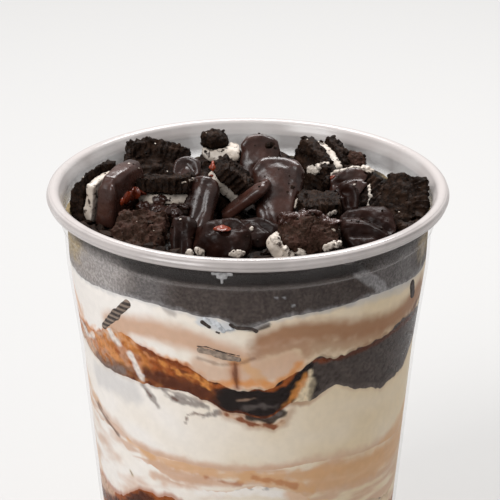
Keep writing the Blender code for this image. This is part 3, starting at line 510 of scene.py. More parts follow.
# Strokes brushed on each layer, in order. A path holds angles and heights on the wall, the half
# width, fade and fraying of its edge are millimetres, and the colour is one of the layer colours.
STROKES = {
    "ice_cream_top": (
        Stroke(((-68, 84.0), (-58, 86.4), (-46, 87.2), (-36, 87.4)),
               2.0, 3.4, "white_cream", 0.9, 0.6),
        # Painted shadow: a soft dark smudge near the top edge.
        Stroke(((-26.5, 89.6), (-23.4, 88.8)), 0.3, 1.1, "veiled_cookie", 0.55, 0.6),
        Stroke(((-50, 81.0), (-44, 81.9), (-31, 83.4), (-20, 82.4), (-12, 80.8), (-4, 78.6)),
               1.0, 3.7, "pink_cream", 0.95, 0.5),
        Stroke(((-40, 79.5), (-32, 79.2), (-26, 78.2)), 0.4, 1.6, "white_cream", 0.6, 0.6),
        Stroke(((-14, 88.0), (-9.5, 86.6), (-5, 87.0)), 0.9, 0.9, "blue_cream", 0.85, 0.9),
        Stroke(((5, 82.6), (12, 84.6), (22, 84.6), (34, 82.8), (52, 81.0), (61, 81.4), (74, 84.0)),
               0.7, 3.9, "tan_cream", 0.95, 0.5),
        Stroke(((2, 77.4), (9, 79.4), (17, 79.2)), 1.4, 3.6, "pink_cream", 0.6, 0.6),
        Stroke(((4, 79.6), (14, 80.8), (22, 80.2), (34, 79.4), (48, 79.2)),
               0.8, 3.0, "tan_cream", 0.7, 1.2),
        Stroke(((-1, 75.0), (4, 76.4), (9, 78.0), (15, 78.6)), 0.6, 1.6, "warm_cream", 0.7, 1.0),
        Stroke(((-2, 74.0), (6, 75.0), (13, 76.5)), 2.0, 2.6, "pink_cream", 0.8, 0.5),
        Stroke(((-16, 75.2), (-9, 73.8), (-5, 73.2)), 1.2, 2.6, "pink_cream", 0.75, 0.5),
        Stroke(((-4.5, 77.6), (-0.9, 77.1), (1.8, 74.8), (4.7, 72.4)),
               0.35, 1.6, "toffee", 0.8, 0.9),
        Stroke(((-11, 71.0), (-4, 71.8), (2, 71.6), (8, 71.0), (13, 72.6), (17, 76.0)),
               0.25, 1.5, "amber", 0.8, 0.8),
        Stroke(((-16, 77.9), (-9.3, 76.6), (-2.3, 77.1), (2.0, 78.4)),
               0.08, 0.55, "brown", 0.45, 0.4),
        Stroke(((-4, 77.0), (-4, 74.1), (-3.5, 70.8)), 0.3, 1.3, "orange", 0.55, 0.4),
        Stroke(((-4, 77.0), (-4, 74.1), (-3.5, 70.8)), 0.18, 0.5, "brown", 0.75, 0.3),
        Stroke(((-132, 82.0), (-112, 84.4), (-98, 85.6), (-86, 84.6), (-79, 80.0), (-73, 77.4)),
               0.5, 2.6, "amber", 0.6, 1.6),
        Stroke(((70, 79.6), (78, 82.0), (88, 85.0), (106, 84.0), (130, 81.0)),
               1.0, 3.2, "tan_cream", 0.8, 1.4),
        Stroke(((62, 78.2), (70, 79.2), (80, 80.6)), 0.2, 1.2, "brown", 0.8, 0.7),
        # Painted shade: greyer and darker cream under the crumbs at the top right.
        Stroke(((33, 90.0), (47, 89.4), (62, 88.6)), 0.5, 1.8, "shadow_cream", 0.5, 0.5),
        Stroke(((16, 89.6), (24, 90.0), (34, 89.8)), 0.4, 1.4, "veiled_cookie", 0.45, 0.5),
        Stroke(((-3.4, 87.2), (2.0, 86.3), (6, 87.2)), 0.5, 0.5, "grey_cookie", 0.9, 0.3),
    ),
    "fudge_upper": (
        Stroke(((-80, 74.5), (-66, 74.0), (-54, 73.0), (-44, 74.0), (-36, 74.6), (-28, 73.6),
                (-20, 72.0), (-15, 70.4)),
               1.4, 2.6, "orange", 0.4, 1.6),
        Stroke(((-76, 76.4), (-64, 75.2), (-54, 73.4), (-47, 71.6)), 0.3, 1.4, "amber", 0.75, 1.1),
        Stroke(((-46, 79.2), (-42, 77.4), (-37, 75.6), (-35, 72.6)), 0.3, 1.3, "amber", 0.55, 0.9),
        Stroke(((-35, 70.6), (-28.5, 70.2), (-20, 69.4), (-15, 68.8)),
               1.0, 1.8, "brown", 0.95, 0.9),
        Stroke(((-37, 77.8), (-32, 76.8), (-29, 77.0), (-26, 75.7), (-22, 75.0), (-18.8, 75.2)),
               0.35, 0.9, "rust", 0.9, 1.0),
        Stroke(((-30, 75.4), (-24, 73.6), (-20, 73.0), (-17, 72.2), (-13, 70.4)),
               0.12, 0.7, "amber", 0.95, 1.6),
        Stroke(((-62, 68.6), (-48, 69.4), (-41.5, 69.2)), 0.9, 1.6, "brown", 0.7, 0.9),
        Stroke(((-62, 67.6), (-54, 68.0), (-47, 69.0)), 0.4, 1.2, "veiled_cookie", 0.7, 0.9),
        Stroke(((-73, 73.4), (-70, 70.4), (-66, 68.2)), 0.7, 1.4, "pink_cream", 0.75, 0.9),
        Stroke(((-80, 79.0), (-73, 77.2), (-69, 73.2)), 0.2, 1.0, "brown", 0.7, 0.6),
        Stroke(((-72, 79.4), (-60, 78.6), (-52, 79.6)), 0.5, 1.2, "white_cream", 0.85, 0.9),
        Stroke(((-76, 75.0), (-69, 73.0), (-63, 74.2)), 0.2, 1.0, "white_cream", 0.7, 1.0),
        Stroke(((-51.5, 78.8), (-47.6, 76.4)), 0.35, 0.9, "white_cream", 0.8, 0.8),
        Stroke(((-42.6, 74.8), (-39.8, 72.0), (-38.2, 69.6)), 0.45, 0.8, "white_cream", 0.85, 0.7),
        Stroke(((-12, 70.6), (-5, 71.2), (2, 70.6), (8, 70.0), (12, 71.2), (16, 74.4)),
               0.1, 0.8, "orange", 0.9, 0.5),
        Stroke(((-0.5, 65.2), (4.6, 66.0), (9.0, 65.4)), 0.4, 0.8, "veiled_cookie", 0.4, 1.2),
        Stroke(((-3.4, 67.1), (0.6, 67.4), (3.3, 68.1)), 0.06, 0.4, "pink_cream", 0.45, 0.6),
        Stroke(((13.4, 60.8), (16.2, 63.4), (19.2, 66.6), (20.4, 70.4)),
               1.5, 0.9, "warm_cream", 0.97, 0.3),
        Stroke(((21.0, 74.0), (20.6, 70.7), (20.2, 66.0)), 0.3, 0.5, "warm_cream", 0.9, 0.3),
        Stroke(((11.4, 63.4), (14.4, 67.0), (17.2, 69.8), (19.4, 72.4)),
               0.25, 1.2, "amber", 0.8, 0.8),
        Stroke(((18.0, 77.8), (20.3, 75.6)), 0.8, 0.8, "fudge", 0.95, 0.5),
        Stroke(((22.4, 76.6), (26.0, 76.0), (30.0, 76.2)), 0.0, 1.1, "rust", 0.85, 0.6),
        Stroke(((22.6, 70.5), (23.2, 65.8)), 0.9, 0.8, "fudge", 0.6, 0.8),
        Stroke(((27, 76.4), (33, 76.1), (43, 76.4), (53, 77.1), (62, 77.7), (74, 77.4)),
               0.2, 0.9, "brown", 0.9, 0.5),
    ),
    "ice_cream_middle": (
        # Painted shadow: bluish grey cream under the fudge on the left.
        Stroke(((-64, 64.0), (-54, 64.6), (-43, 64.2)), 1.4, 3.2, "shadow_cream", 0.48, 0.8),
        Stroke(((-38.2, 67.4), (-34.9, 65.0), (-32.2, 62.9)),
               0.35, 0.8, "veiled_cookie", 0.75, 0.6),
        Stroke(((-30, 67.6), (-25.9, 65.9), (-21.5, 65.5), (-13.9, 65.2)),
               0.3, 0.7, "veiled_cookie", 0.8, 0.7),
        Stroke(((-34, 68.4), (-27.5, 67.8), (-20.5, 66.8), (-15.6, 65.9)),
               0.2, 0.6, "veiled_cookie", 0.7, 0.6),
        Stroke(((-37.4, 66.6), (-35.2, 65.2)), 0.05, 0.4, "brown", 0.7, 0.4),
        Stroke(((-28.4, 66.8), (-24.6, 65.6)), 0.05, 0.4, "brown", 0.7, 0.4),
        Stroke(((-21.9, 60.2), (-21.3, 62.1), (-18.2, 63.0), (-15.3, 62.7)),
               0.1, 0.45, "brown", 0.75, 0.6),
        Stroke(((-15.3, 62.0), (-12.4, 62.9), (-10.7, 63.8)), 0.2, 0.6, "veiled_cookie", 0.85, 1.3),
        Stroke(((-7, 63.2), (-2.6, 61.9), (0.6, 61.0), (5.4, 60.9), (9.5, 60.3), (12, 61.6),
                (15, 64)),
               0.3, 2.0, "tan_cream", 0.5, 0.8),
        Stroke(((-7, 63.2), (-2.6, 61.9), (0.6, 61.0), (5.4, 60.9), (9.5, 60.3), (11.5, 61.4)),
               0.1, 0.8, "toffee", 0.5, 0.8),
        Stroke(((-7, 63.2), (-2.6, 61.9), (0.6, 61.0), (5.4, 60.9), (9.5, 60.3), (11.5, 61.4)),
               0.0, 0.5, "rust", 0.9, 1.0),
        Stroke(((1.0, 63.4), (4.5, 62.6), (8.5, 62.3), (11.6, 63.8)), 0.9, 0.7, "fudge", 0.92, 0.7),
        Stroke(((5.0, 62.9), (8.6, 62.8), (10.4, 63.6)), 0.1, 0.9, "veiled_cookie", 0.5, 1.2),
        Stroke(((-128, 59.4), (-104, 61.6), (-92, 61.6), (-84, 60.4), (-76, 57.7), (-67, 54.8)),
               0.4, 1.8, "toffee", 0.65, 1.0),
        Stroke(((-68, 55.2), (-59.4, 53.1), (-53.5, 51.3)), 0.1, 0.6, "brown", 0.65, 0.4),
        Stroke(((58, 46.6), (70, 48.2), (84, 52.0)), 0.8, 2.8, "toffee", 0.7, 0.8),
        Stroke(((-44, 50.4), (-30, 49.4), (-10, 48.6), (14, 48.4), (34, 47.6), (56, 46.6)),
               0.2, 1.8, "pink_cream", 0.8, 0.7),
    ),
    "caramel_swirl": (
        Stroke(((-36, 47.4), (-29, 45.6), (-23, 45.2), (-12, 46.2)),
               0.9, 1.8, "pink_cream", 0.9, 0.9),
        Stroke(((-40, 49.2), (-27, 48.2), (-16, 47.4), (-2, 47.1), (6, 46.9), (14, 46.6),
                (23, 46.0), (33, 45.6), (44, 45.0), (59, 44.6)),
               0.35, 1.8, "toffee", 0.75, 1.0),
        Stroke(((-15, 46.2), (-12.2, 45.6), (-7.9, 45.1), (-2.8, 44.8)),
               0.1, 0.9, "orange", 0.6, 0.9),
        Stroke(((-2, 47.0), (1.5, 46.8), (10.0, 45.6), (18.0, 43.6), (24, 41.4)),
               0.3, 1.8, "toffee", 0.9, 1.0),
        Stroke(((2, 46.6), (9, 45.6), (17, 43.8)), 0.05, 0.9, "orange", 0.5, 0.9),
        Stroke(((26, 44.6), (45, 43.4), (67, 43.2), (82, 46.0)), 2.0, 3.2, "toffee", 0.75, 0.8),
        Stroke(((-122, 52.0), (-102, 54.4), (-88, 54.0), (-74, 50.0), (-64, 46.0)),
               0.8, 3.6, "toffee", 0.55, 1.2),
        Stroke(((-76, 57.0), (-67, 54.2), (-59.4, 52.2), (-53.5, 50.6)),
               0.12, 0.8, "brown", 0.7, 0.4),
        Stroke(((-48, 50.8), (-42, 49.8), (-36, 48.6)), 0.1, 1.2, "toffee", 0.8, 0.5),
    ),
    "ice_cream_lower": (
        Stroke(((-18, 42.2), (-8, 43.0), (2.3, 43.3), (11, 42.2), (20, 39.7)),
               0.6, 1.3, "white_cream", 0.85, 0.8),
        Stroke(((-36, 43.8), (-26, 43.4), (-18, 44.0)), 0.3, 1.8, "pink_cream", 0.8, 0.8),
        Stroke(((-12, 43.6), (-4.5, 43.7), (4.0, 43.4), (9.2, 43.2)),
               0.02, 0.4, "veiled_cookie", 0.55, 1.2),
        Stroke(((20, 41.4), (33, 41.4), (48, 39.8), (66, 38.0), (84, 38.6)),
               2.6, 3.6, "toffee", 0.72, 1.0),
        Stroke(((38, 36.0), (52, 34.6), (68, 32.6)), 1.0, 2.6, "tan_cream", 0.5, 1.2),
        Stroke(((-124, 44.6), (-104, 47.0), (-92, 46.2), (-84, 42.0), (-76, 35.4)),
               0.6, 2.8, "toffee", 0.55, 1.4),
        Stroke(((-48.6, 42.3), (-47.5, 41.3)), 0.2, 0.4, "olive_cream", 0.6, 0.1),
        Stroke(((-48.4, 42.1), (-47.7, 41.5)), 0.05, 0.35, "brown", 0.6, 0.1),
        Stroke(((61.9, 34.0), (61.3, 32.2)), 0.45, 0.5, "veiled_cookie", 0.85, 0.2),
    ),
    "fudge_lower": (
        Stroke(((-90, 34.6), (-80, 32.6), (-66, 33.4)), 2.1, 1.4, "pink_cream", 0.95, 1.0),
        Stroke(((-90, 28.8), (-76, 29.0), (-64, 31.0)), 0.3, 1.3, "rust", 0.7, 0.8),
    ),
    "cookie_crumbs": (
        Stroke(((-70, 93.5), (-54, 95.5)), 3.5, 8.5, "shadow_cream", 0.9, 0.8),
        # Painted light: paler cream on the left of the neck, making up for the shadow that the rim
        # casts there.
        Stroke(((-76, 99.5), (-48, 100.5)), 2.6, 6.0, "shadow_cream", 0.95, 0.8),
        Stroke(((-70, 94.0), (-50, 97.0)), 4.0, 8.0, "ash_cream", 0.45, 0.8),
        Stroke(((-126, 93.0), (-100, 96.4), (-73, 98.0)), 3.2, 6.0, "olive_cream", 0.8, 2.2),
        Stroke(((-48, 93.0), (-36, 94.5)), 3.0, 8.0, "shadow_cream", 0.22, 0.8),
        Stroke(((34, 98.8), (39.5, 95.4), (44.9, 92.1), (48.7, 89.4)),
               0.9, 1.0, "shadow_cream", 0.5, 0.5),
        Stroke(((50, 95.0), (62, 94.0)), 3.0, 5.0, "shadow_cream", 0.2, 0.6),
        Stroke(((76, 97.0), (100, 96.0), (124, 93.0)), 2.4, 6.5, "olive_cream", 0.65, 2.2),
        Stroke(((14.0, 91.6), (14.2, 91.7)), 0.12, 0.25, "blue_cream", 0.6, 0.1),
        Stroke(((11.2, 93.9), (11.4, 93.9)), 0.12, 0.25, "blue_cream", 0.5, 0.1),
        Stroke(((8.6, 93.9), (8.8, 93.9)), 0.12, 0.25, "blue_cream", 0.5, 0.1),
    ),
}


def brush(colours, points, angles, heights, node):
    """Brush a layer's strokes over its colours, one after the other."""
    look = bpy.context.scene.sundae_layers
    fraying = rough_cloud(points, 2.4, 5.5)
    for stroke in STROKES[node]:
        knots = [(angle * WALL_PER_DEGREE, height) for angle, height in stroke.path]
        edge = path_distance(angles * WALL_PER_DEGREE, heights, knots) + stroke.fray * fraying
        mask = 1.0 - soft(edge, stroke.half_width, stroke.half_width + stroke.fade)
        colours = blend_colour(colours, getattr(look, stroke.colour), stroke.strength * mask)
    return colours


def node_ring(name):
    """Angles of a layer's corners at the wall, with its top and foot height at each."""
    points = points_of(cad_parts[name])
    radii = np.hypot(points[:, 0], points[:, 1])
    turns = np.round(np.degrees(np.arctan2(points[:, 0], -points[:, 1])) / 7.5).astype(int) % 48
    tops = np.empty(48)
    feet = np.empty(48)
    for turn in range(48):
        rim = points[(turns == turn) & (radii > 29.0)]
        tops[turn] = rim[:, 2].max()
        feet[turn] = rim[:, 2].min()
    return tops, feet


def ring_curve(values, angles):
    """A smooth closed curve through evenly spaced values round the cup."""
    count = len(values)
    place = (angles % 360.0) / 360.0 * count
    index = np.floor(place).astype(int)
    share = place - index
    before, here, after, beyond = (values[(index + shift) % count] for shift in (-1, 0, 1, 2))
    bend = 2 * before - 5 * here + 4 * after - beyond
    twist = 3 * (here - after) + beyond - before
    return here + 0.5 * share * (after - before + share * (bend + share * twist))


def outer_radius(heights):
    """Radius of the cup's outer wall at heights."""
    radii, levels = zip(*WALL)
    return np.interp(heights, levels, radii)


def ring_points(radius):
    """Places round the cup at a radius, one for each ring angle."""
    turns = np.radians(RING_ANGLES)
    return np.stack((radius * np.sin(turns), -radius * np.cos(turns), 0.0 * turns), axis=1)


def boundary(below, above, raggedness, seed):
    """Height at the wall where one layer meets the next, by angle, with a ragged edge."""
    lower_top = node_ring(below)[0]
    upper_foot = node_ring(above)[1]
    edge = ring_curve((lower_top + upper_foot) / 2, RING_ANGLES)
    ring = ring_points(40.0)
    waves = rough_cloud(ring, 4.2, seed)
    return edge + raggedness * (waves + 0.55 * rough_cloud(ring, 1.5, seed + 2.0))


def rolled_filling(name, foot, top, rings, top_relief=None):
    """A flat grid rolled into a closed filling between two boundaries."""
    wall_rows = max(4, int(np.ceil((top - foot).max() / ROW_HEIGHT)))
    rows = rings + wall_rows + TOP_RINGS
    deselect()
    bpy.ops.mesh.primitive_grid_add(x_subdivisions=COLUMNS, y_subdivisions=rows, size=1.0)
    piece = new_name(bpy.context.object, name)
    flat = np.empty(len(piece.data.vertices) * 3)
    piece.data.vertices.foreach_get("co", flat)
    flat = flat.reshape(-1, 3)
    column = np.round((flat[:, 0] + 0.5) * COLUMNS).astype(int)
    row = np.round((flat[:, 1] + 0.5) * rows).astype(int)
    reach = bpy.context.scene.sundae_layers.reach / MM
    wall = bpy.context.scene.sundae_cup.wall / MM
    top_share = np.clip(row / rings, 0.0, 1.0)
    foot_share = np.clip((rows - row) / TOP_RINGS, 0.0, 1.0)
    down = np.clip((row - rings) / wall_rows, 0.0, 1.0)
    edge = top[column] * (1.0 - down) + foot[column] * down
    crown = top.mean() + (top[column] - top.mean()) * top_share
    keel = foot.mean() + (foot[column] - foot.mean()) * foot_share
    heights = np.where(row < rings, crown, np.where(row > rings + wall_rows, keel, edge))
    radii = (outer_radius(edge) - wall + reach) * np.minimum(top_share, foot_share)
    turns = 2 * math.pi * column / COLUMNS
    points = np.stack((radii * np.sin(turns), -radii * np.cos(turns), heights), axis=1)
    if top_relief is not None:
        points = top_relief(points, column, row < rings, top_share)
    move_points(piece, points)
    weld(piece, 0.01)
    shade(piece, 50.0)
    return piece


def add_tones(piece, painter, foot, top):
    """Store the colour that a painter gives each corner of a layer."""
    points = points_of(piece)
    angles = np.degrees(np.arctan2(points[:, 0], -points[:, 1]))
    heights = points[:, 2]
    above_foot = heights - np.interp(angles % 360.0, RING_ANGLES, foot)
    below_top = np.interp(angles % 360.0, RING_ANGLES, top) - heights
    store_colours(piece, painter(points, angles, heights, above_foot, below_top))


def store_colours(piece, colours):
    """Keep a colour for each corner in the piece's own attribute."""
    layer = piece.data.color_attributes.new("tone", "FLOAT_COLOR", "POINT")
    full = np.ones((len(colours), 4))
    full[:, :3] = np.clip(colours, 0.0, 1.0)
    layer.data.foreach_set("color", full.ravel())


def cream_ground(points, angles, look):
    """Ice cream that is whiter on the left and warmer on the right, with soft clouds."""
    colours = np.tile(np.array(look.white_cream), (len(points), 1))
    warm = soft(angles, -55.0, 45.0) * (1.0 - soft(np.abs(angles), 100.0, 180.0))
    clouds = cloud(warped(points, 7.0, 2.5, 1.7), 10.0, 3.1, (1.0, 1.0, 0.6))
    return blend_colour(colours, look.warm_cream, 0.95 * warm + 0.22 * clouds)


def out_of_sight(angles):
    """A mask for the back of the cup, where the swirls are left to chance."""
    return soft(np.abs(angles), 84.0, 112.0)


def paint_top_cream(points, angles, heights, above_foot, below_top):
    """The pale layer under the crumbs, with tan swirls, caramel seeping up into it and painted
    shade along its top edge.
    """
    look = bpy.context.scene.sundae_layers
    colours = cream_ground(points, angles, look)
    chance = out_of_sight(angles) * soft(rough_cloud(points, 9.0, 1.4, (1.8, 1.8, 0.5)), -0.3, 1.0)
    colours = blend_colour(colours, look.tan_cream, 0.8 * chance)
    ragged = rough_cloud(points, 2.0, 7.7)
    left_or_back = np.maximum(1.0 - soft(angles, -18.0, -8.0), out_of_sight(angles))
    halo = 1.0 - soft(above_foot + 1.1 * ragged, 0.1, 1.7)
    colours = blend_colour(colours, look.amber, 0.75 * halo * left_or_back)
    freckles = 0.9 * rough_cloud(points, 1.1, 17.2)
    spots = (1.0 - soft(above_foot + freckles, -0.1, 0.7)) * left_or_back
    colours = blend_colour(colours, look.orange, 0.8 * spots)
    seep = 1.0 - soft(above_foot + 0.6 * ragged, 0.0, 0.8)
    colours = blend_colour(colours, look.brown, 0.5 * seep * (1.0 - left_or_back))
    colours = brush(colours, points, angles, heights, "ice_cream_top")
    # Painted shade: the cream greys along its top edge, under the crumbs, where their dark also
    # shows through the thin cream.
    veil = 1.0 - soft(below_top + 0.6 * ragged, 0.1, 1.1)
    return blend_colour(colours, look.shadow_cream, 0.5 * veil)


def paint_upper_fudge(points, angles, heights, above_foot, below_top):
    """Caramel streaks on the left, black fudge in the middle, a grey cookie slab on the right."""
    look = bpy.context.scene.sundae_layers
    colours = np.tile(np.array(look.fudge), (len(points), 1))
    slanted = points.copy()
    slanted[:, 2] += 18.0 * np.sin(np.radians(angles))
    streak = rough_cloud(slanted, 3.2, 4.4, (1.3, 1.3, 0.65))
    fleck = rough_cloud(points, 1.6, 14.4, (1.2, 1.2, 0.9))
    left = (1.0 - soft(angles + 4.0 * streak, -20.0, -9.0)) * (1.0 - soft(-angles, 100.0, 140.0))
    fading = soft(-angles, 24.0, 56.0)
    colours = blend_colour(colours, look.brown, left)
    colours = blend_colour(colours, look.rust, left * soft(streak + fleck, -0.7, 0.0))
    colours = blend_colour(colours, look.orange, left * soft(streak + 0.7 * fading, -0.35, 0.25))
    colours = blend_colour(colours, look.amber, 0.8 * left * soft(fleck + 1.1 * fading, 0.15, 0.7))
    pale = left * fading * soft(fleck + streak + 0.6 * fading, 0.05, 0.65)
    colours = blend_colour(colours, look.pink_cream, pale)
    slab = soft(angles + 1.2 * streak, 20.6, 22.4) * (1.0 - soft(angles, 86.0, 104.0))
    grains = 1.05 + 0.55 * cloud(points, 0.8, 6.1) + 0.25 * streak
    slab_tone = np.array(look.grey_cookie) * grains[:, None]
    mask = slab[:, None]
    colours = colours * (1.0 - mask) + slab_tone * mask
    colours = brush(colours, points, angles, heights, "fudge_upper")
    rim = 1.0 - soft(above_foot + 0.5 * fleck, 0.1, 1.0)
    centre = soft(angles, -22.0, -12.0) * (1.0 - soft(angles, 12.0, 15.0))
    colours = blend_colour(colours, look.brown, 0.95 * rim * np.maximum(centre, 0.35 * left))
    spots = soft(rim, 0.35, 0.8) * soft(fleck, -0.1, 0.35)
    colours = blend_colour(colours, look.orange, 0.85 * spots * centre * soft(angles, -8.0, 2.0))
    dull = (1.0 - soft(above_foot + 0.8 * streak, 0.2, 1.6)) * slab
    return blend_colour(colours, look.veiled_cookie, 0.35 * dull)


def paint_middle_cream(points, angles, heights, above_foot, below_top):
    """The smooth thick layer in the middle of the cup."""
    look = bpy.context.scene.sundae_layers
    colours = cream_ground(points, angles, look)
    wobble = rough_cloud(points, 4.0, 8.3)
    seep = 1.0 - soft(below_top + 0.7 * wobble, 0.1, 1.2)
    warmer = 1.0 - soft(np.abs(angles - 4.0), 12.0, 26.0)
    colours = blend_colour(colours, look.tan_cream, (0.25 + 0.5 * warmer) * seep)
    blush = 1.0 - soft(above_foot + 0.8 * wobble, 0.2, 2.6)
    colours = blend_colour(colours, look.pink_cream, 0.6 * blush)
    return brush(colours, points, angles, heights, "ice_cream_middle")


def paint_swirl(points, angles, heights, above_foot, below_top):
    """Soft streaks of caramel drawn out between two layers of ice cream."""
    look = bpy.context.scene.sundae_layers
    colours = cream_ground(points, angles, look)
    streak = rough_cloud(points, 5.0, 6.6, (2.2, 2.2, 0.40))
    colours = blend_colour(colours, look.pink_cream, 0.8 * soft(streak, -0.6, 0.3))
    chance = out_of_sight(angles)
    colours = blend_colour(colours, look.toffee, 0.8 * chance * soft(streak, -0.2, 0.4))
    top_line = chance * (1.0 - soft(below_top + 0.8 * streak, 0.3, 1.5))
    colours = blend_colour(colours, look.orange, 0.55 * top_line)
    return brush(colours, points, angles, heights, "caramel_swirl")


def paint_lower_cream(points, angles, heights, above_foot, below_top):
    """White ice cream on the left that turns tan on the right."""
    look = bpy.context.scene.sundae_layers
    colours = cream_ground(points, angles, look)
    swirl = rough_cloud(points, 7.0, 2.9, (1.4, 1.4, 0.55))
    colours = blend_colour(colours, look.pink_cream, 0.7 * soft(swirl, -0.3, 0.8))
    chance = 0.6 * out_of_sight(angles) * soft(swirl, -0.1, 1.0)
    colours = blend_colour(colours, look.tan_cream, chance)
    colours = brush(colours, points, angles, heights, "ice_cream_lower")
    halo = 1.0 - soft(above_foot + 0.8 * swirl, 0.2, 1.8)
    return blend_colour(colours, look.orange, 0.7 * halo)


def paint_lower_fudge(points, angles, heights, above_foot, below_top):
    """Fudge low in the cup, with brown caramel along its top."""
    look = bpy.context.scene.sundae_layers
    colours = np.tile(np.array(look.fudge), (len(points), 1))
    streak = rough_cloud(points, 4.0, 12.2, (1.8, 1.8, 0.5))
    brown = 1.0 - soft(below_top + 1.6 * streak, 1.2, 3.6)
    colours = blend_colour(colours, look.brown, brown)
    top_line = 1.0 - soft(below_top + 1.2 * streak, 0.3, 1.6)
    colours = blend_colour(colours, look.orange, 0.8 * top_line)
    foot_line = 1.0 - soft(above_foot + 1.2 * streak, 0.2, 1.3)
    colours = blend_colour(colours, look.orange, 0.6 * foot_line)
    return brush(colours, points, angles, heights, "fudge_lower")


def paint_base_cream(points, angles, heights, above_foot, below_top):
    """The ice cream at the bottom of the cup."""
    look = bpy.context.scene.sundae_layers
    colours = cream_ground(points, angles, look)
    swirl = rough_cloud(points, 8.0, 7.1, (1.8, 1.8, 0.45))
    colours = blend_colour(colours, look.pink_cream, 0.9 * soft(swirl, -0.7, 0.3))
    colours = blend_colour(colours, look.tan_cream, 0.6 * soft(swirl, 0.1, 0.9))
    seep = 1.0 - soft(below_top + 0.9 * swirl, 0.2, 1.8)
    return blend_colour(colours, look.tan_cream, 0.8 * seep)


def paint_crumbs(points, angles, heights, above_foot, below_top):
    """Grey cookie crumbs behind the wall, near black on top, with painted shade under the rim and
    painted light on the left of the neck.
    """
    look = bpy.context.scene.sundae_layers
    topping = bpy.context.scene.sundae_toppings
    colours = np.tile(np.array(look.grey_cookie), (len(points), 1))
    slanted = points.copy()
    slanted[:, 2] += 10.0 * np.sin(np.radians(angles))
    streak = rough_cloud(slanted, 2.2, 3.3, (0.8, 0.8, 2.4))
    colours = colours * (1.15 + 0.26 * streak)[:, None]
    chance = out_of_sight(angles) * soft(rough_cloud(points, 9.0, 6.2, (1.6, 1.6, 0.8)), -0.2, 0.8)
    colours = blend_colour(colours, look.olive_cream, 0.45 * chance)
    colours = brush(colours, points, angles, heights, "cookie_crumbs")
    pale = 1.0 - soft(above_foot + 0.8 * rough_cloud(points, 2.4, 4.8), 0.1, 1.2)
    colours = blend_colour(colours, look.shadow_cream, 0.35 * pale)
    # Painted shade: the fudge colour is laid on the crumbs just under the rim, where the rim shades
    # them.
    shaded = soft(heights, 96.6, 97.6) * soft(angles, -52.0, -30.0)
    shaded = shaded * (1.0 - soft(angles, 34.0, 44.0))
    colours = blend_colour(colours, look.fudge, 0.95 * shaded)
    inside = 1.0 - soft(np.hypot(points[:, 0], points[:, 1]), 41.6, 42.3)
    ground = np.tile(np.array(topping.wafer), (len(points), 1))
    ground = blend_colour(ground, topping.wafer_dust, soft(rough_cloud(points, 1.4, 1.9), 0.0, 0.7))
    mask = inside[:, None]
    return colours * (1.0 - mask) + ground * mask


Layer = namedtuple("Layer", "painter slot raggedness")

# The layers from the bottom, with the raggedness of each one's top edge in millimetres.
LAYERS = {
    "ice_cream_base": Layer(paint_base_cream, "coffee_ice_cream", 1.0),
    "fudge_lower": Layer(paint_lower_fudge, "fudge", 0.9),
    "ice_cream_lower": Layer(paint_lower_cream, "coffee_ice_cream", 0.7),
    "caramel_swirl": Layer(paint_swirl, "caramel", 0.3),
    "ice_cream_middle": Layer(paint_middle_cream, "ice_cream", 0.6),
    "fudge_upper": Layer(paint_upper_fudge, "fudge", 0.75),
    "ice_cream_top": Layer(paint_top_cream, "ice_cream", 0.3),
    "cookie_crumbs": Layer(paint_crumbs, "cookie_wafer", 0.5),
}


def new_material(name):
    """A material with its shader, links and a place for new nodes."""
    material = bpy.data.materials.new(name)
    material.use_nodes = True
    tree = material.node_tree
    return material, tree, tree.nodes["Principled BSDF"]


def add_node(tree, kind, **values):
    """A node with some of its settings."""
    node = tree.nodes.new(kind)
    for key, value in values.items():
        setattr(node, key, value)
    return node


def grain_group():
    """Shared group: noise in the piece's own place, as a mask and a height."""
    name = "Fine grain"
    if name in bpy.data.node_groups:
        return bpy.data.node_groups[name]
    group = bpy.data.node_groups.new(name, "ShaderNodeTree")
    for socket, value in (("Scale", 600.0), ("Detail", 4.0), ("Low", 0.35), ("High", 0.65)):
        item = group.interface.new_socket(name=socket, in_out="INPUT",
                                          socket_type="NodeSocketFloat")
        item.default_value = value
    group.interface.new_socket(name="Mask", in_out="OUTPUT", socket_type="NodeSocketFloat")
    group.interface.new_socket(name="Height", in_out="OUTPUT", socket_type="NodeSocketFloat")
    entry = group.nodes.new("NodeGroupInput")
    leave = group.nodes.new("NodeGroupOutput")
    place = group.nodes.new("ShaderNodeTexCoord")
    cloudy = group.nodes.new("ShaderNodeTexNoise")
    ramp = group.nodes.new("ShaderNodeMapRange")
    ramp.interpolation_type = "SMOOTHSTEP"
    links = group.links
    links.new(place.outputs["Object"], cloudy.inputs["Vector"])
    links.new(entry.outputs["Scale"], cloudy.inputs["Scale"])
    links.new(entry.outputs["Detail"], cloudy.inputs["Detail"])
    links.new(cloudy.outputs["Fac"], ramp.inputs["Value"])
    links.new(entry.outputs["Low"], ramp.inputs["From Min"])
    links.new(entry.outputs["High"], ramp.inputs["From Max"])
    links.new(ramp.outputs["Result"], leave.inputs["Mask"])
    links.new(cloudy.outputs["Fac"], leave.inputs["Height"])
    return group


def add_grain(tree, scale, detail, low, high):
    """The shared grain with its own values."""
    node = tree.nodes.new("ShaderNodeGroup")
    node.node_tree = grain_group()
    node.inputs["Scale"].default_value = scale
    node.inputs["Detail"].default_value = detail
    node.inputs["Low"].default_value = low
    node.inputs["High"].default_value = high
    return node


def feed(tree, socket, value):
    """Link a socket to another, or give it a number or a colour."""
    if isinstance(value, bpy.types.NodeSocket):
        tree.links.new(value, socket)
    elif socket.type == "RGBA":
        socket.default_value = (*value, 1.0)
    else:
        socket.default_value = value


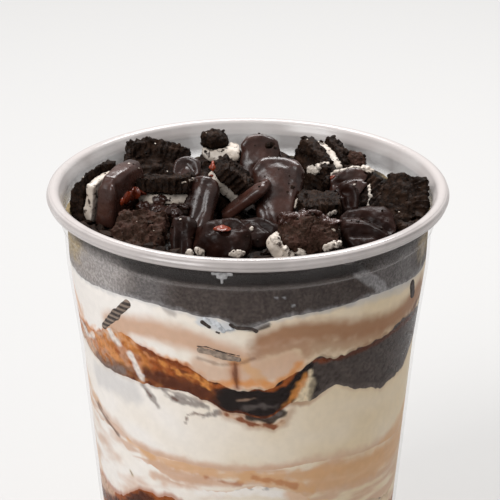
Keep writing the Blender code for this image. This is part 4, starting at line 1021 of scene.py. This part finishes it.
def mix_colours(tree, mask, first, second):
    """Mix two colours, each a value or a socket, by a mask socket."""
    node = add_node(tree, "ShaderNodeMix", data_type="RGBA")
    feed(tree, node.inputs["Factor"], mask)
    feed(tree, node.inputs[6], first)
    feed(tree, node.inputs[7], second)
    return node.outputs[2]


def reckon(tree, operation, first, second, clamp=False):
    """One sum on two values, each a number or a socket."""
    node = add_node(tree, "ShaderNodeMath", operation=operation, use_clamp=clamp)
    feed(tree, node.inputs[0], first)
    feed(tree, node.inputs[1], second)
    return node.outputs["Value"]


def range_of(tree, value, low, high):
    """Spread a mask from 0..1 to low..high."""
    node = add_node(tree, "ShaderNodeMapRange")
    tree.links.new(value, node.inputs["Value"])
    node.inputs["To Min"].default_value = low
    node.inputs["To Max"].default_value = high
    return node.outputs["Result"]


def add_bump(tree, shader, height, distance, strength):
    """Relief from a height socket."""
    node = add_node(tree, "ShaderNodeBump")
    node.inputs["Distance"].default_value = distance
    node.inputs["Strength"].default_value = strength
    tree.links.new(height, node.inputs["Height"])
    tree.links.new(node.outputs["Normal"], shader.inputs["Normal"])


def add_gloss(tree, shader, mask, smooth, rough):
    """Roughness that varies with a mask."""
    tree.links.new(range_of(tree, mask, smooth, rough), shader.inputs["Roughness"])


def mottled_tone(tree, mask, shade_value):
    """The painted tone, dimmer where a mask is low."""
    tone = add_node(tree, "ShaderNodeAttribute", attribute_name="tone").outputs["Color"]
    dimmer = add_node(tree, "ShaderNodeHueSaturation")
    dimmer.inputs["Value"].default_value = shade_value
    tree.links.new(tone, dimmer.inputs["Color"])
    return mix_colours(tree, mask, dimmer.outputs["Color"], tone)


def layer_material(name, low_gloss, high_gloss, grain_scale, contrast, bump):
    """Painted filling: its own tones, a fine mottle and a soft, uneven gloss."""
    material, tree, shader = new_material(name)
    grain = add_grain(tree, grain_scale, 5.0, 0.30, 0.70)
    colour = mottled_tone(tree, grain.outputs["Mask"], 1.0 - contrast)
    tree.links.new(colour, shader.inputs["Base Color"])
    add_gloss(tree, shader, grain.outputs["Mask"], low_gloss, high_gloss)
    shader.inputs["Specular IOR Level"].default_value = 0.04
    add_bump(tree, shader, grain.outputs["Height"], 0.0002, bump)
    return material


def plastic_material():
    """Milky clear plastic: see-through face on, whiter at its edges and where it is thick, with
    painted shade darkening its colour away from the rim.
    """
    look = bpy.context.scene.sundae_cup
    material, tree, shader = new_material("clear_cup_plastic")
    haze = add_node(tree, "ShaderNodeAttribute", attribute_name="haze").outputs["Fac"]
    behind = add_node(tree, "ShaderNodeNewGeometry").outputs["Backfacing"]
    facing = add_node(tree, "ShaderNodeLayerWeight")
    facing.inputs["Blend"].default_value = 0.25
    grain = add_grain(tree, 90.0, 3.0, 0.30, 0.75)
    edge = reckon(tree, "POWER", range_of(tree, facing.outputs["Facing"], 0.0, 0.50), 2.0)
    milky = reckon(tree, "MULTIPLY", haze, range_of(tree, behind, 1.0, 0.12))
    streaky = range_of(tree, grain.outputs["Mask"], 0.85, 1.15)
    milky = reckon(tree, "MULTIPLY", milky, streaky)
    tree.links.new(reckon(tree, "ADD", edge, milky, clamp=True), shader.inputs["Alpha"])
    thick = add_node(tree, "ShaderNodeMapRange", interpolation_type="SMOOTHSTEP")
    tree.links.new(haze, thick.inputs["Value"])
    thick.inputs["From Min"].default_value = 0.84
    thick.inputs["From Max"].default_value = 0.92
    # Painted shade: away from the thick rim the plastic takes a darker copy of its colour.
    shaded = scaled(look.plastic, 0.58)
    colour = mix_colours(tree, thick.outputs["Result"], shaded, look.plastic)
    tree.links.new(colour, shader.inputs["Base Color"])
    add_gloss(tree, shader, grain.outputs["Mask"], 0.16, 0.26)
    shader.inputs["IOR"].default_value = 1.5
    add_bump(tree, shader, grain.outputs["Height"], 0.0002, 0.12)
    return material


def crumbly_material(name, dark, light):
    """Dry cookie: near black, with lighter grains and no gloss."""
    material, tree, shader = new_material(name)
    coarse = add_grain(tree, 420.0, 6.0, 0.42, 0.72)
    fine = add_grain(tree, 2600.0, 3.0, 0.45, 0.70)
    colour = mix_colours(tree, coarse.outputs["Mask"], dark, light)
    pale = [min(1.0, value * 2.2) for value in light]
    colour = mix_colours(tree, range_of(tree, fine.outputs["Mask"], 0.0, 0.35), colour, pale)
    tree.links.new(colour, shader.inputs["Base Color"])
    add_gloss(tree, shader, fine.outputs["Mask"], 0.50, 0.85)
    shader.inputs["Specular IOR Level"].default_value = 0.07
    add_bump(tree, shader, fine.outputs["Height"], 0.0003, 0.6)
    return material


def glaze_material(name, colour, dark, gloss, shine=0.42):
    """Smooth glaze: deep brown, with a clear gloss and a little unevenness."""
    material, tree, shader = new_material(name)
    coarse = add_grain(tree, 160.0, 3.0, 0.35, 0.65)
    fine = add_grain(tree, 900.0, 4.0, 0.40, 0.65)
    tone = mix_colours(tree, coarse.outputs["Mask"], dark, colour)
    tree.links.new(tone, shader.inputs["Base Color"])
    add_gloss(tree, shader, fine.outputs["Mask"], gloss, gloss + 0.12)
    shader.inputs["Coat Weight"].default_value = 0.4 * shine
    shader.inputs["Coat Roughness"].default_value = 0.24
    shader.inputs["Specular IOR Level"].default_value = shine
    add_bump(tree, shader, fine.outputs["Height"], 0.0004, 0.30)
    return material


def filling_material():
    """Stiff pale cream, dusted with cookie."""
    look = bpy.context.scene.sundae_toppings
    material, tree, shader = new_material("stiff_filling")
    coarse = add_grain(tree, 260.0, 4.0, 0.35, 0.70)
    dust = add_grain(tree, 900.0, 5.0, 0.56, 0.66)
    dim = [value * factor for value, factor in zip(look.filling, (0.80, 0.76, 0.72))]
    colour = mix_colours(tree, coarse.outputs["Mask"], dim, look.filling)
    colour = mix_colours(tree, dust.outputs["Mask"], colour, look.filling_dust)
    tree.links.new(colour, shader.inputs["Base Color"])
    shader.inputs["Roughness"].default_value = 0.5
    add_bump(tree, shader, coarse.outputs["Height"], 0.0004, 0.4)
    return material


def bed_material():
    """Small crumbs and fudge: mostly dry, with wet patches."""
    material, tree, shader = new_material("crumb_bed")
    wet = add_grain(tree, 130.0, 4.0, 0.46, 0.60)
    fine = add_grain(tree, 1500.0, 4.0, 0.35, 0.70)
    colour = mottled_tone(tree, fine.outputs["Mask"], 0.6)
    tree.links.new(colour, shader.inputs["Base Color"])
    add_gloss(tree, shader, wet.outputs["Mask"], 0.78, 0.35)
    shader.inputs["Specular IOR Level"].default_value = 0.12
    add_bump(tree, shader, fine.outputs["Height"], 0.0004, 0.5)
    return material


def cup_profile(look):
    """Half section of the cup from the middle of its underside to the middle of its floor."""
    wall = look.wall / MM
    groove = look.bead_groove / MM
    heights = np.linspace(3.0, 95.6, 40)
    outside = list(zip(outer_radius(heights).tolist(), heights.tolist()))
    inside = [(radius - wall, height) for radius, height in reversed(outside) if height > 4.2]
    rim = []
    for step in range(RIM_STEPS + 1):
        degrees = -105.0 + 262.0 * step / RIM_STEPS
        turn = math.radians(degrees)
        grooved = 1.0 if -60.0 < degrees < 60.0 else 0.0
        cut = groove * (0.5 - 0.5 * math.cos(math.radians(degrees * 9.0))) * grooved
        rim.append((
            RIM_CENTRE[0] + (RIM_HALF_WIDTH - cut) * math.cos(turn),
            RIM_CENTRE[1] + RIM_HALF_HEIGHT * math.sin(turn),
        ))
    return [*FOOT_OUTSIDE, *outside, *NECK_OUTSIDE, *rim, *NECK_INSIDE, *inside, *FLOOR_INSIDE]


def spun_shell(name, profile, steps):
    """A closed shell turned round the axis from a half section."""
    deselect()
    bpy.ops.mesh.primitive_circle_add(vertices=len(profile), radius=1.0, fill_type="NOTHING")
    piece = new_name(bpy.context.object, name)
    points = np.array([(radius, 0.0, height) for radius, height in profile])
    move_points(piece, points)
    bpy.ops.object.mode_set(mode="EDIT")
    bpy.ops.mesh.select_all(action="DESELECT")
    bpy.ops.object.mode_set(mode="OBJECT")
    last = len(profile) - 1
    for edge in piece.data.edges:
        edge.select = set(edge.vertices) == {0, last}
    bpy.ops.object.mode_set(mode="EDIT")
    bpy.ops.mesh.delete(type="EDGE_FACE")
    bpy.ops.mesh.select_all(action="SELECT")
    bpy.ops.mesh.spin(steps=steps, angle=2 * math.pi, center=(0.0, 0.0, 0.0), axis=(0.0, 0.0, 1.0))
    bpy.ops.object.mode_set(mode="OBJECT")
    weld(piece, 0.01)
    return piece


def add_haze(piece, look):
    """Store how milky each corner of the cup looks."""
    points = points_of(piece)
    heights = points[:, 2]
    outward = np.sum(points[:, :2] * normals_of(piece)[:, :2], axis=1)
    ledge = np.exp(-((heights - LEDGE_HEIGHT) / 0.35) ** 2)
    outside = look.wall_haze + 0.45 * ledge + 0.10 * soft(heights, 99.4, 101.0)
    inside = look.wall_haze + look.neck_haze * soft(heights, 96.0, 99.0)
    haze = np.where(outward > 0.0, outside, inside)
    haze = haze + (look.rim_haze - haze) * soft(heights, 101.2, 102.0)
    haze = haze + 0.25 * (1.0 - soft(heights, 2.5, 5.0))
    layer = piece.data.attributes.new("haze", "FLOAT", "POINT")
    layer.data.foreach_set("value", haze)


class SUNDAE_OT_cup(bpy.types.Operator):
    """Make the clear cup with its foot, stacking ledge and rolled, finely grooved rim"""

    bl_idname = "sundae.cup"
    bl_label = "Cup"

    def execute(self, context):
        look = context.scene.sundae_cup
        cup = spun_shell("clear_cup", cup_profile(look), 256)
        shade(cup, 30.0)
        add_haze(cup, look)
        finish_piece(cup, plastic_material(), ("cup",))
        return {"FINISHED"}


def layer_edges():
    """Every boundary between layers, from the cup's floor to the top of the crumbs."""
    edges = [np.full(COLUMNS + 1, FILLING_FOOT)]
    names = list(LAYERS)
    for number, (below, above) in enumerate(zip(names, names[1:])):
        edges.append(boundary(below, above, LAYERS[below].raggedness, 3.7 * number))
    top = ring_curve(node_ring("cookie_crumbs")[0], RING_ANGLES)
    ragged = LAYERS["cookie_crumbs"].raggedness * rough_cloud(ring_points(42.0), 3.0, 1.1)
    return edges + [top + ragged]


class SUNDAE_OT_layers(bpy.types.Operator):
    """Fill the cup with its wavy layers of ice cream, fudge and caramel"""

    bl_idname = "sundae.layers"
    bl_label = "Layers"

    def execute(self, context):
        edges = layer_edges()
        cream = layer_material("soft_ice_cream", 0.38, 0.52, 500.0, 0.05, 0.10)
        fudge = layer_material("wet_fudge", 0.20, 0.42, 900.0, 0.25, 0.20)
        for (node, layer), foot, top in zip(LAYERS.items(), edges, edges[1:]):
            if node == "cookie_crumbs":
                continue
            piece = rolled_filling("filled_" + node, foot, top, TOP_RINGS)
            add_tones(piece, layer.painter, foot, top)
            material = fudge if layer.slot == "fudge" else cream
            finish_piece(piece, material, (node,))
        return {"FINISHED"}


def bed_relief(points, column, on_top, share):
    """Heights of the crumb bed's top: the solid's own, with small crumbs on it."""
    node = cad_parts["cookie_crumbs"]
    corners = points_of(node).tolist()
    faces = [list(face.vertices) for face in node.data.polygons]
    tree = BVHTree.FromPolygons(corners, faces)
    raised = points.copy()
    grain = rough_cloud(points, 2.4, 4.1)
    fine = cloud(points, 0.9, 8.8)
    for index in np.nonzero(on_top)[0]:
        x, y = points[index, :2]
        hit = tree.ray_cast(Vector((x * 0.985, y * 0.985, 140.0)), Vector((0.0, 0.0, -1.0)))[0]
        if hit is not None:
            blend = float(soft(np.array(share[index]), 0.955, 1.0))
            level = hit.z + 0.55 * grain[index] + 0.22 * fine[index]
            raised[index, 2] = level * (1.0 - blend) + points[index, 2] * blend
    return raised


class SUNDAE_OT_bed(bpy.types.Operator):
    """Lay the bed of small cookie crumbs and fudge that carries the large pieces"""

    bl_idname = "sundae.bed"
    bl_label = "Crumb bed"

    def execute(self, context):
        foot, top = layer_edges()[-2:]
        layer = LAYERS["cookie_crumbs"]
        piece = rolled_filling("crumb_bed", foot, top, BED_RINGS, bed_relief)
        add_tones(piece, layer.painter, foot, top)
        finish_piece(piece, bed_material(), ("cookie_crumbs",))
        return {"FINISHED"}


def solid_copy(node, name):
    """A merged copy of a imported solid, to be shaped further."""
    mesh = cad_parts[node].data.copy()
    piece = bpy.data.objects.new(name, mesh)
    bpy.context.scene.collection.objects.link(piece)
    mesh.name = name
    mesh.materials.clear()
    weld(piece, 0.005)
    return piece


def lumps(name, size):
    """Cloudy relief with lumps of a size in millimetres."""
    texture = bpy.data.textures.new(name, "CLOUDS")
    texture.noise_scale = size * MM
    return texture


def ease(piece, times):
    """Even out a surface."""
    apply_modifier(piece, "SMOOTH", factor=0.5, iterations=times)


def remesh(piece, size, times):
    """Even facets of one size, with the corners eased."""
    apply_modifier(piece, "REMESH", mode="VOXEL", voxel_size=size, use_smooth_shade=True)
    ease(piece, times)


def relief(piece, texture, strength, middle=0.5):
    """Push a surface in and out by a texture, by a strength in millimetres."""
    apply_modifier(
        piece, "DISPLACE", texture=texture, texture_coords="LOCAL", strength=strength * MM,
        mid_level=middle,
    )


def facing_matrix(at, face):
    """Where a fragment lies and which way its face looks, as the solids have it."""
    azimuth = math.radians(face[0])
    elevation = math.radians(face[1])
    facing = Vector((
        math.sin(azimuth) * math.cos(elevation),
        -math.cos(azimuth) * math.cos(elevation),
        math.sin(elevation),
    ))
    right = Vector((math.cos(azimuth), math.sin(azimuth), 0.0))
    upward = facing.cross(right)
    turned = Matrix((right, upward, facing)).transposed().to_4x4()
    return Matrix.Translation(Vector(at)) @ turned


def seen_from_face(piece, at, face):
    """A piece's corners and directions as seen from where its face looks."""
    turn = np.array(facing_matrix(at, face).inverted())
    return points_of(piece) @ turn[:3, :3].T + turn[:3, 3], normals_of(piece) @ turn[:3, :3].T


def mould_ridges(piece, place):
    """Raise the radial ridges and the ring on a wafer's moulded face."""
    at, face, middle, lift, side = place
    local, directions = seen_from_face(piece, at, face)
    across = local[:, 0] - middle[0]
    along = local[:, 1] - middle[1]
    radii = np.hypot(across, along)
    turns = np.arctan2(along, across)
    height = (local[:, 2] - lift) * side
    flat = soft(directions[:, 2] * side, 0.55, 0.85) * soft(height, 0.6, 1.4)
    band = soft(radii, RIDGE_RADIUS - 0.4, RIDGE_RADIUS + 0.3)
    ridge = np.cos(turns * RIDGES) * RIDGE_HEIGHT * band
    ring = -0.25 * np.exp(-((radii - RIDGE_RADIUS + 0.9) / 0.45) ** 2)
    ring += 0.16 * np.exp(-((radii - 12.5) / 0.6) ** 2)
    dots = 0.20 * soft(np.cos(turns * 14.0) * np.cos((radii - 9.0) * 1.1), 0.55, 0.8)
    dots = dots * soft(radii, 5.0, 6.0) * (1.0 - soft(radii, 15.0, 16.0))
    outward = (directions[:, 0] * across + directions[:, 1] * along) / radii
    on_edge = soft(outward, 0.45, 0.8) * soft(radii, 19.0, 20.0)
    flutes = FLUTE_DEPTH * np.cos(turns * RIDGES) * on_edge
    push = (ridge + ring + dots) * flat + flutes
    move_points(piece, points_of(piece) + normals_of(piece) * push[:, None])


def fold_glaze(piece, at, face, folds):
    """Raise soft folds and press grooves along paths on a glazed piece's face."""
    local, directions = seen_from_face(piece, at, face)
    wander = cloud(points_of(piece), 3.0, 5.2)
    facing = soft(directions[:, 2], 0.1, 0.6)
    push = np.zeros(len(local))
    for knots, height, width in folds:
        distance = path_distance(local[:, 0], local[:, 1], knots) + 0.35 * wander
        push += height * np.exp(-(distance / width) ** 2) * facing
    move_points(piece, points_of(piece) + normals_of(piece) * push[:, None])


class SUNDAE_OT_wafers(bpy.types.Operator):
    """Make the broken cookie wafers: moulded ridges, fluted edges and crumbly breaks"""

    bl_idname = "sundae.wafers"
    bl_label = "Cookie wafers"

    def execute(self, context):
        look = context.scene.sundae_toppings
        dry = crumbly_material("dry_cookie", look.wafer, look.wafer_dust)
        brown = crumbly_material("brown_cookie", scaled(look.wafer_dust, 0.9), look.brown_dust)
        coarse = lumps("crumble", 1.5)
        fine = lumps("crumble_fine", 0.55)
        chips = lumps("chips", 4.2)
        crumble = look.roughness / MM
        for node in (*WAFER_PLACES, *CRUMBLY_LUMPS):
            wafer = node in WAFER_PLACES
            piece = solid_copy(node, "broken_" + node)
            remesh(piece, look.voxel, 1 if wafer else 2)
            relief(piece, chips, crumble * (2.4 if wafer else 1.6))
            if wafer:
                depth = 0.9 if node in BROWNER else 0.35
                points = points_of(piece)
                grooves = depth * rough_cloud(points, 1.3, 2.0, (1.0, 1.0, 5.0))
                move_points(piece, points + normals_of(piece) * grooves[:, None])
                mould_ridges(piece, WAFER_PLACES[node])
            relief(piece, coarse, crumble * (1.2 if wafer else 2.0))
            relief(piece, fine, crumble * (0.6 if wafer else 1.0))
            shade(piece, 50.0)
            finish_piece(piece, brown if node in BROWNER else dry, (node,))
        return {"FINISHED"}


class SUNDAE_OT_fillings(bpy.types.Operator):
    """Make the cookie fillings that show between and beside the wafers"""

    bl_idname = "sundae.fillings"
    bl_label = "Fillings"

    def execute(self, context):
        look = context.scene.sundae_toppings
        material = filling_material()
        swells = lumps("filling_lumps", 1.8)
        for node in FILLINGS:
            piece = solid_copy(node, "cream_" + node)
            remesh(piece, look.voxel, 3)
            relief(piece, swells, 0.6)
            shade(piece, 60.0)
            finish_piece(piece, material, (node,))
        return {"FINISHED"}


class SUNDAE_OT_glazed(bpy.types.Operator):
    """Make the smooth glazed pieces with their soft, flowing surfaces"""

    bl_idname = "sundae.glazed"
    bl_label = "Glazed pieces"

    def execute(self, context):
        look = context.scene.sundae_toppings
        smooth = glaze_material("smooth_glaze", look.glaze, scaled(look.glaze, 0.45), 0.27)
        # Painted shade: the pieces low at the front take a darker copy of the glaze.
        shaded = scaled(look.glaze, 0.42)
        deep = glaze_material("glaze_in_painted_shade", shaded, scaled(shaded, 0.5), 0.36, 0.1)
        waves = lumps("glaze_waves", 7.0)
        waves.noise_depth = 0
        ripples = lumps("glaze_ripples", 2.2)
        for node, (at, face, folds) in GLAZED.items():
            piece = solid_copy(node, "glossy_" + node)
            remesh(piece, look.voxel, 4)
            relief(piece, waves, 0.8)
            relief(piece, ripples, 0.9 if node in GLAZED_IN_SHADE else 0.25)
            fold_glaze(piece, at, face, folds)
            ease(piece, 3)
            shade(piece, 60.0)
            finish_piece(piece, deep if node in GLAZED_IN_SHADE else smooth, (node,))
        return {"FINISHED"}


def mesh_piece(name, corners, faces):
    """A new piece from corners in millimetres and faces."""
    mesh = bpy.data.meshes.new(name)
    mesh.from_pydata((np.array(corners) * MM).tolist(), [], faces)
    piece = bpy.data.objects.new(name, mesh)
    bpy.context.scene.collection.objects.link(piece)
    return piece


def add_shape(corners, faces, points, shape):
    """Append a shape's points and faces to growing lists."""
    start = len(corners)
    corners += points.tolist()
    faces += [[start + corner for corner in face] for face in shape]


def ball_shape(subdivisions):
    """The points and faces of a small ball of radius 1."""
    deselect()
    bpy.ops.mesh.primitive_ico_sphere_add(subdivisions=subdivisions, radius=1.0)
    ball = bpy.context.object
    points = np.array([corner.co[:] for corner in ball.data.vertices])
    faces = [list(face.vertices) for face in ball.data.polygons]
    bpy.data.objects.remove(ball, do_unlink=True)
    return points, faces


def blob_piece(name, samples, voxel):
    """One closed piece grown from overlapping blobs: place, direction, radius, thickness."""
    ball, ball_faces = ball_shape(2)
    corners = []
    faces = []
    for place, direction, radius, thickness in samples:
        turn = np.array(Vector(direction).to_track_quat("Z", "Y").to_matrix())
        blob = (ball * (radius, radius, thickness)) @ turn.T + np.array(place)
        add_shape(corners, faces, blob, ball_faces)
    piece = mesh_piece(name, corners, faces)
    remesh(piece, voxel * MM, 3)
    return piece


def along_path(knots, spacing):
    """Evenly spaced places along a path."""
    places = []
    for start, end in zip(knots, knots[1:]):
        first, last = np.array(start, float), np.array(end, float)
        count = max(1, int(np.linalg.norm(last - first) / spacing))
        places += [first + (last - first) * step / count for step in range(count)]
    return places + [np.array(knots[-1], float)]


class SUNDAE_OT_wall_bits(bpy.types.Operator):
    """Set small bits of cookie and cream into the cream where they show through the wall"""

    bl_idname = "sundae.wall_bits"
    bl_label = "Bits at the wall"

    def execute(self, context):
        look = context.scene.sundae_layers
        wall = context.scene.sundae_cup.wall / MM
        material = layer_material("bits_at_the_wall", 0.45, 0.6, 900.0, 0.20, 0.15)
        for name, (colour, slot, strips) in WALL_BITS.items():
            samples = []
            for knots, half_width in strips:
                sheet = [(angle * WALL_PER_DEGREE, height) for angle, height in knots]
                for across, height in along_path(sheet, 0.3):
                    turn = math.radians(across / WALL_PER_DEGREE)
                    outward = np.array((math.sin(turn), -math.cos(turn), 0.0))
                    wobble = noise.noise((across * 0.8, height * 0.8, 3.3))
                    place = outward * (float(outer_radius(height)) - wall - 0.2)
                    place[2] = height
                    samples.append((place, outward, half_width * (1.0 + 0.5 * wobble), 0.9))
            piece = blob_piece(name, samples, 0.2)
            points = points_of(piece)
            limit = outer_radius(points[:, 2]) - wall + 0.45
            inward = np.minimum(1.0, limit / np.hypot(points[:, 0], points[:, 1]))
            points[:, :2] *= inward[:, None]
            move_points(piece, points)
            mottle = soft(rough_cloud(points, 1.0, 9.1), -0.4, 0.6)
            ground = np.tile(np.array(getattr(look, colour)), (len(points), 1))
            colours = ground * (0.7 + 0.5 * mottle)[:, None]
            if name == "striped_bit":
                share = points[:, 2] - strips[0][0][0][1]
                stripes = soft(np.cos(share * math.pi * 2 / 1.36), -0.1, 0.5)
                colours = blend_colour(colours, look.ash_cream, 0.8 * stripes)
            store_colours(piece, colours)
            shade(piece, 60.0)
            finish_piece(piece, material, ())
        return {"FINISHED"}


class SUNDAE_OT_sauces(bpy.types.Operator):
    """Lay dabs of caramel and smears of cream on the heap, one thin cream strip being a painted
    highlight
    """

    bl_idname = "sundae.sauces"
    bl_label = "Dabs and smears"

    def execute(self, context):
        caramel = context.scene.sundae_toppings.caramel
        heap = heap_tree()
        rough = lumps("smear_lumps", 0.9)
        materials = {
            "caramel": glaze_material("shiny_caramel", caramel, scaled(caramel, 0.35), 0.2),
            "cookie_filling": bpy.data.materials["stiff_filling"],
            "cookie_wafer": bpy.data.materials["dry_cookie"],
            "fudge_glaze": bpy.data.materials["smooth_glaze"],
        }
        for name, (slot, strips) in SAUCES.items():
            samples = []
            for knots, half_width, thickness in strips:
                for place in along_path(knots, 0.3):
                    hit, normal, _, _ = heap.find_nearest(Vector(place))
                    wobble = noise.noise(place * 1.1) + 0.6 * noise.noise(place * 2.7)
                    slips = [noise.noise(place * 0.9 + 5.0), noise.noise(place * 0.9 + 9.0), 0.0]
                    radius = half_width * max(0.35, 1.0 + 1.1 * wobble)
                    samples.append((hit + Vector(slips) * half_width, normal, radius, thickness))
            piece = blob_piece(name, samples, 0.17)
            if slot != "caramel":
                relief(piece, rough, 0.7)
            shade(piece, 60.0)
            finish_piece(piece, materials[slot], ())
        return {"FINISHED"}


def heap_tree(parts=HEAP_PARTS):
    """A search tree over the finished pieces whose names start in given ways, in millimetres."""
    corners = []
    faces = []
    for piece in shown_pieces():
        if piece.name.startswith(parts):
            shape = [list(face.vertices) for face in piece.data.polygons]
            add_shape(corners, faces, points_of(piece), shape)
    return BVHTree.FromPolygons(corners, faces)


def crumb_shape(draw):
    """One small broken crumb as points and faces."""
    points, faces = ball_shape(1)
    points *= np.array([[draw.uniform(0.7, 1.3)] for _ in points])
    points *= np.array((draw.uniform(0.8, 1.3), draw.uniform(0.6, 1.0), draw.uniform(0.5, 0.9)))
    return points, faces


def scatter(name, count, sizes, tree, draw, reach):
    """Crumbs of a range of sizes, dropped on what lies below them."""
    kinds = [crumb_shape(draw) for _ in range(6)]
    corners = []
    faces = []
    for _ in range(count):
        radius = reach * math.sqrt(draw.random())
        turn = draw.uniform(0.0, 2 * math.pi)
        size = sizes[0] + (sizes[1] - sizes[0]) * draw.random() ** 2.2
        place = Vector((radius * math.sin(turn), -radius * math.cos(turn), 140.0))
        hit, normal, _, _ = tree.ray_cast(place, Vector((0.0, 0.0, -1.0)))
        if hit is None or normal.z < 0.25:
            continue
        points, shape = kinds[draw.randrange(len(kinds))]
        spin = Matrix.Rotation(draw.uniform(0, 6.28), 3, "Z")
        spin = spin @ Matrix.Rotation(draw.uniform(-0.7, 0.7), 3, "X")
        turned = (points * size) @ np.array(spin).T + np.array(hit + normal * size * 0.35)
        add_shape(corners, faces, turned, shape)
    return mesh_piece(name, corners, faces)


class SUNDAE_OT_crumbs(bpy.types.Operator):
    """Scatter loose crumbs of cookie and filling over the bed and the heap"""

    bl_idname = "sundae.crumbs"
    bl_label = "Loose crumbs"

    def execute(self, context):
        look = context.scene.sundae_toppings
        draw = random.Random(look.seed)
        heap = heap_tree()
        bed = heap_tree("crumb_bed")
        count = look.crumb_count
        cookie = bpy.data.materials["dry_cookie"]
        cream = bpy.data.materials["stiff_filling"]
        loose = scatter("loose_crumbs", count, (0.5, 2.3), bed, draw, 41.4)
        stuck = scatter("crumbs_on_pieces", count // 2, (0.18, 0.6), heap, draw, 41.0)
        pale = scatter("pale_crumbs", 40, (0.15, 0.45), heap, draw, 40.0)
        for piece, material, slot in (
            (loose, cookie, "cookie_wafer"),
            (stuck, cookie, "cookie_wafer"),
            (pale, cream, "cookie_filling"),
        ):
            shade(piece, 30.0)
            finish_piece(piece, material, ())
        return {"FINISHED"}


def area_light(name, place, aim, width, height, power):
    """A rectangular soft light that looks at a point."""
    bpy.ops.object.light_add(type="AREA", location=place)
    light = bpy.context.object
    light.name = name
    light.data.shape = "RECTANGLE"
    light.data.size = width
    light.data.size_y = height
    light.data.energy = power
    light.rotation_euler = (Vector(place) - Vector(aim)).to_track_quat("Z", "Y").to_euler()
    return light


class SUNDAE_OT_stage(bpy.types.Operator):
    """Add the pale floor, the soft lights and the camera"""

    bl_idname = "sundae.stage"
    bl_label = "Stage"

    def execute(self, context):
        look = context.scene.sundae_stage
        deselect()
        bpy.ops.mesh.primitive_plane_add(size=12.0, location=(0.0, 0.0, 0.0))
        floor = new_name(bpy.context.object, "floor")
        material, _, shader = new_material("pale_floor")
        shader.inputs["Base Color"].default_value = (*look.floor, 1.0)
        shader.inputs["Roughness"].default_value = 0.75
        floor.data.materials.append(material)
        floor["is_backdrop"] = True
        world = bpy.data.worlds.new("studio")
        world.use_nodes = True
        backdrop = world.node_tree.nodes["Background"]
        backdrop.inputs["Color"].default_value = (1.0, 0.99, 0.98, 1.0)
        backdrop.inputs["Strength"].default_value = 0.42
        context.scene.world = world
        context.scene.view_settings.view_transform = "Standard"
        aim = (0.0, 0.0, 0.09)
        area_light("key_light", (-0.55, -0.55, 0.75), aim, 0.5, 0.5, look.key_power)
        area_light("top_light", (0.05, 0.40, 0.75), aim, 0.6, 0.3, look.top_power)
        tilt = math.radians(CAMERA_TILT)
        away = Vector((0.0, -math.cos(tilt), math.sin(tilt)))
        bpy.ops.object.camera_add(location=Vector(AIM) + away * CAMERA_DISTANCE)
        camera = context.object
        camera.rotation_euler = away.to_track_quat("Z", "Y").to_euler()
        camera.data.sensor_width = SENSOR_WIDTH
        camera.data.lens = LENS
        context.scene.camera = camera
        return {"FINISHED"}


class SUNDAE_PT_panel(bpy.types.Panel):
    """Lists the sundae's pieces in the sidebar"""

    bl_label = "Sundae"
    bl_idname = "SUNDAE_PT_panel"
    bl_space_type = "VIEW_3D"
    bl_region_type = "UI"
    bl_category = "Sundae"

    def draw(self, context):
        layout = self.layout
        for operator in OPERATORS:
            layout.operator(operator.bl_idname)
        for group in (context.scene.sundae_cup, context.scene.sundae_layers,
                      context.scene.sundae_toppings, context.scene.sundae_stage):
            box = layout.box()
            for key in group.__annotations__:
                box.prop(group, key)


GROUPS = (
    ("sundae_cup", CupLook),
    ("sundae_layers", LayerLook),
    ("sundae_toppings", ToppingLook),
    ("sundae_stage", StageLook),
)
OPERATORS = (
    SUNDAE_OT_cup,
    SUNDAE_OT_layers,
    SUNDAE_OT_bed,
    SUNDAE_OT_wafers,
    SUNDAE_OT_fillings,
    SUNDAE_OT_glazed,
    SUNDAE_OT_wall_bits,
    SUNDAE_OT_sauces,
    SUNDAE_OT_crumbs,
    SUNDAE_OT_stage,
)


def register():
    """Add the settings, operators and panel."""
    for name, group in GROUPS:
        bpy.utils.register_class(group)
        setattr(bpy.types.Scene, name, bpy.props.PointerProperty(type=group))
    for operator in OPERATORS:
        bpy.utils.register_class(operator)
    bpy.utils.register_class(SUNDAE_PT_panel)


def unregister():
    """Take the panel, operators and settings away again."""
    bpy.utils.unregister_class(SUNDAE_PT_panel)
    for operator in reversed(OPERATORS):
        bpy.utils.unregister_class(operator)
    for name, group in reversed(GROUPS):
        delattr(bpy.types.Scene, name)
        bpy.utils.unregister_class(group)


def main():
    """Make every piece in order."""
    register()
    bpy.ops.sundae.cup()
    bpy.ops.sundae.layers()
    bpy.ops.sundae.bed()
    bpy.ops.sundae.wafers()
    bpy.ops.sundae.fillings()
    bpy.ops.sundae.glazed()
    bpy.ops.sundae.wall_bits()
    bpy.ops.sundae.sauces()
    bpy.ops.sundae.crumbs()
    bpy.ops.sundae.stage()


if __name__ == "__main__":
    main()
